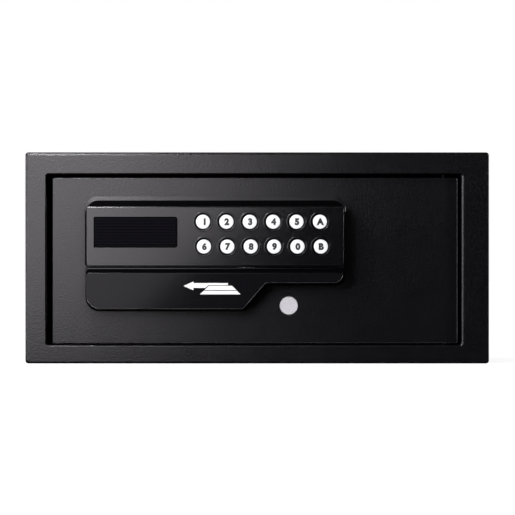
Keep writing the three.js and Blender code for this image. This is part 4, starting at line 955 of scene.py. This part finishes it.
def cover_ribs():
    """Ribs pressed into the cover on the inside of the door to stiffen it."""
    back = span("door_inner_cover")[1].y
    for i, z in enumerate(RIB_HEIGHTS):
        bm = bmesh.new()
        outline = (*RIB_ENDS, z - RIB_HALF_WIDTH, z + RIB_HALF_WIDTH, RIB_CORNER)
        loops = [rounded_loop(bm, rectangle(*outline, inset), back + rise) for inset, rise in RIB_RISE]
        chain(bm, loops)
        fill(bm, loops[0])
        fill(bm, loops[-1])
        finished(bm, f"pressed_rib_{i}", "door", LIGHTENED_INNER_COAT)


def bolts():
    """Round locking bolts with chamfered tips."""
    for node in ("bolt_upper", "bolt_lower"):
        low, high = span(node)
        y, z, radius = (low.y + high.y) / 2, (low.z + high.z) / 2, (high.z - low.z) / 2
        tip = [(low.x + depth, radius - loss) for depth, loss in BOLT_TIP]
        profile = [(low.x, 0), *tip, (high.x - BOLT_BACK_EDGE, radius), (high.x, radius - BOLT_BACK_EDGE),
                   (high.x, 0)]
        bolt = spun([(x, y, z + r) for x, r in profile], (0, y, z), (1, 0, 0), BOLT_STEPS)
        finished(bolt, f"round_{node}", "bolt_work", BRIGHT_STEEL, [node])


def socket_screw(name, body, x, y, z):
    """Button-head screw with a hexagon socket, which looks to the rear."""
    bm = bmesh.new()
    top, rim, socket = y + SCREW_HEIGHT, y + SCREW_RIM, SOCKET_SHARE * SCREW_RADIUS
    rings = [circle_loop(bm, x, z, y - SCREW_SINK, SCREW_RADIUS, SCREW_STEPS),
             circle_loop(bm, x, z, rim, SCREW_RADIUS, SCREW_STEPS)]
    for step in range(1, DOME_STEPS + 1):
        angle = step / DOME_STEPS * DOME_TURN
        height = rim + (SCREW_HEIGHT - SCREW_RIM) * math.sin(angle) / math.sin(DOME_TURN)
        radius = SCREW_RADIUS * (1 - DOME_LOSS * (1 - math.cos(angle)))
        rings.append(circle_loop(bm, x, z, height, radius, SCREW_STEPS))
    chain(bm, rings)
    mouth = circle_loop(bm, x, z, top, socket, 6)
    floor = circle_loop(bm, x, z, top - SOCKET_DEPTH, socket, 6)
    bmesh.ops.triangle_fill(bm, edges=rings[-1] + mouth, use_beauty=True, use_dissolve=False)
    chain(bm, [mouth, floor])
    fill(bm, floor)
    fill(bm, rings[0])
    finished(bm, name, body, ZINC)


def cover_screws():
    """Screws that hold the cover on the inside of the door."""
    low, high = span("door_inner_cover")
    columns = (low.x + COVER_SCREW_INSET_X, (low.x + high.x) / 2, high.x - COVER_SCREW_INSET_X)
    for i, x in enumerate(columns):
        for j, z in enumerate((low.z + COVER_SCREW_INSET_Z, high.z - COVER_SCREW_INSET_Z)):
            socket_screw(f"cover_screw_{i}_{j}", "door", x, high.y, z)


dress_cad_nodes()
sheet_metal()
bolts()
cover_screws()
cover_ribs()
front_frame()
keypad_housing()
fascia()
keys()
reader_housing()
gasket_lip()
swipe_marks()
key_cap()


# Studio


def studio_floor():
    """White floor, which looks black in the reflections in front of the safe."""
    bm = bmesh.new()
    bmesh.ops.create_grid(bm, x_segments=1, y_segments=1, size=FLOOR_HALF_SIZE)
    mesh = bpy.data.meshes.new("studio_floor")
    bm.to_mesh(mesh)
    bm.free()
    floor = bpy.data.objects.new("studio_floor", mesh)
    bpy.context.scene.collection.objects.link(floor)
    material = bpy.data.materials.new("pale_floor")
    material.use_nodes = True
    tree = material.node_tree
    shader = tree.nodes["Principled BSDF"]
    shader.inputs["Roughness"].default_value = 0.9
    shader.inputs["Specular IOR Level"].default_value = 0.1
    shader.inputs["Emission Color"].default_value = (1, 1, 1, 1)
    place = tree.nodes.new("ShaderNodeSeparateXYZ")
    tree.links.new(tree.nodes.new("ShaderNodeTexCoord").outputs["Object"], place.inputs["Vector"])
    rays = tree.nodes.new("ShaderNodeLightPath").outputs
    flagged = spread(tree, place.outputs["Y"], *FLOOR_FLAG)
    dark = math_node(tree, "MULTIPLY", flagged, rays["Is Glossy Ray"])
    tree.links.new(blended(tree, dark, (0.8, 0.8, 0.8), (0.01, 0.01, 0.01)), shader.inputs["Base Color"])
    seen = math_node(tree, "MAXIMUM", rays["Is Camera Ray"], rays["Is Glossy Ray"])
    seen = math_node(tree, "MAXIMUM", seen, rays["Is Transmission Ray"])
    lit = math_node(tree, "SUBTRACT", seen, dark)
    tree.links.new(math_node(tree, "MULTIPLY", lit, 0.8), shader.inputs["Emission Strength"])
    mesh.materials.append(material)


def studio_world():
    """White background, black flags in front of the safe for its reflections, and soft grey light."""
    world = bpy.data.worlds.new("studio")
    bpy.context.scene.world = world
    world.use_nodes = True
    tree = world.node_tree
    rays = tree.nodes.new("ShaderNodeLightPath").outputs
    way = tree.nodes.new("ShaderNodeSeparateXYZ")
    tree.links.new(tree.nodes.new("ShaderNodeTexCoord").outputs["Generated"], way.inputs["Vector"])
    behind = spread(tree, way.outputs["Y"], *ROOM_TURN)
    room = blended(tree, behind, (0.004, 0.004, 0.005), (1, 1, 1))
    shown = math_node(tree, "MAXIMUM", rays["Is Camera Ray"], rays["Is Transmission Ray"])
    background = blended(tree, shown, room, (1, 1, 1))
    seen = math_node(tree, "MAXIMUM", shown, rays["Is Glossy Ray"])
    colour = blended(tree, seen, (0.30, 0.30, 0.31), background)
    tree.links.new(colour, tree.nodes["Background"].inputs["Color"])


def outer_walls(state):
    """The cabinet's walls, which a lamp either leaves alone or lights alone."""
    walls = bpy.data.collections.new(f"outer_walls_{state.lower()}")
    for i, name in enumerate(("cabinet_shell_eased", "rear_panel_eased")):
        walls.objects.link(bpy.data.objects[name])
        walls.collection_objects[i].light_linking.link_state = state
    return walls


def softbox(name, place, aim, size, power, tilt=0.0, soft_light=True, glossy_light=True, linked=None):
    """Lamp that looks at its aim; without soft light it makes only gloss, on the pieces it is linked to."""
    light = bpy.data.lights.new(name, "AREA")
    light.shape = "RECTANGLE"
    light.size, light.size_y = size
    light.energy = power
    lamp = bpy.data.objects.new(name, light)
    bpy.context.scene.collection.objects.link(lamp)
    lamp.location = place
    aimed = (Vector(aim) - Vector(place)).to_track_quat("-Z", "Y").to_matrix()
    lamp.rotation_euler = (aimed @ Matrix.Rotation(tilt, 3, "Z")).to_euler()
    light.color = (1, 1, 1) if soft_light else GLOSS_TINT
    lamp.visible_diffuse = soft_light
    if not soft_light:
        lamp.light_linking.receiver_collection = linked or BUT_THE_WALLS
    lamp.visible_glossy = glossy_light


def camera():
    """Camera that sees the front as the photograph shows it."""
    data = bpy.data.cameras.new("photo_camera")
    data.sensor_width = SENSOR
    data.lens = SENSOR * CAMERA_DISTANCE / (IMAGE_PIXELS * PIXEL)
    data.clip_end = 100
    view = bpy.data.objects.new("photo_camera", data)
    bpy.context.scene.collection.objects.link(view)
    front = span("front_frame")[0].y
    view.location = Vector((IMAGE_CENTRE_X, front - CAMERA_DISTANCE, IMAGE_CENTRE_Z)) * MM
    view.rotation_euler = (math.pi / 2, 0, 0)
    bpy.context.scene.camera = view


BUT_THE_WALLS, ONLY_THE_WALLS = outer_walls("EXCLUDE"), outer_walls("INCLUDE")
studio_floor()
studio_world()
softbox("front_left_softbox", (-0.62, -1.65, 0.46), (0, -0.19, 0.1), (0.3, 0.3), 24, glossy_light=False)
softbox("left_gloss_box", (-0.316, -0.49, 0.21), (-0.316, -0.19, 0.21), (0.48, 0.514), 1.7,
        tilt=GLOSS_TILT, soft_light=False)
softbox("left_gloss_centre", (-0.335, -0.491, 0.17), (-0.335, -0.19, 0.17), (0.558, 0.314), 0.63,
        tilt=GLOSS_TILT, soft_light=False)
softbox("low_gloss_box", (-0.33, -0.49, 0.028), (-0.33, -0.19, 0.028), (0.24, 0.045), 0.35, soft_light=False)
softbox("right_edge_strip", (0.9, -0.45, 0.35), (0.1, -0.19, 0.1), (0.05, 0.5), 5, soft_light=False)
softbox("top_edge_strip", (-0.34, -0.42, 0.62), (-0.25, -0.19, 0.2), (0.24, 0.05), 3.6, soft_light=False)
softbox("left_edge_strip", (-1.0, -0.5, 0.2), (-0.22, -0.19, 0.1), (0.1, 0.4), 2.6, soft_light=False)
softbox("corner_spot", (-0.2, -0.45, 0.35), (-0.16, -0.2, 0.15), (0.05, 0.04), 0.75, soft_light=False)
softbox("walls_gloss_box", (0, -1.6, 0.95), (0, 0, 0.2), (5, 1.5), 9, soft_light=False, linked=ONLY_THE_WALLS)
camera()
bpy.context.scene.view_settings.view_transform = "Standard"
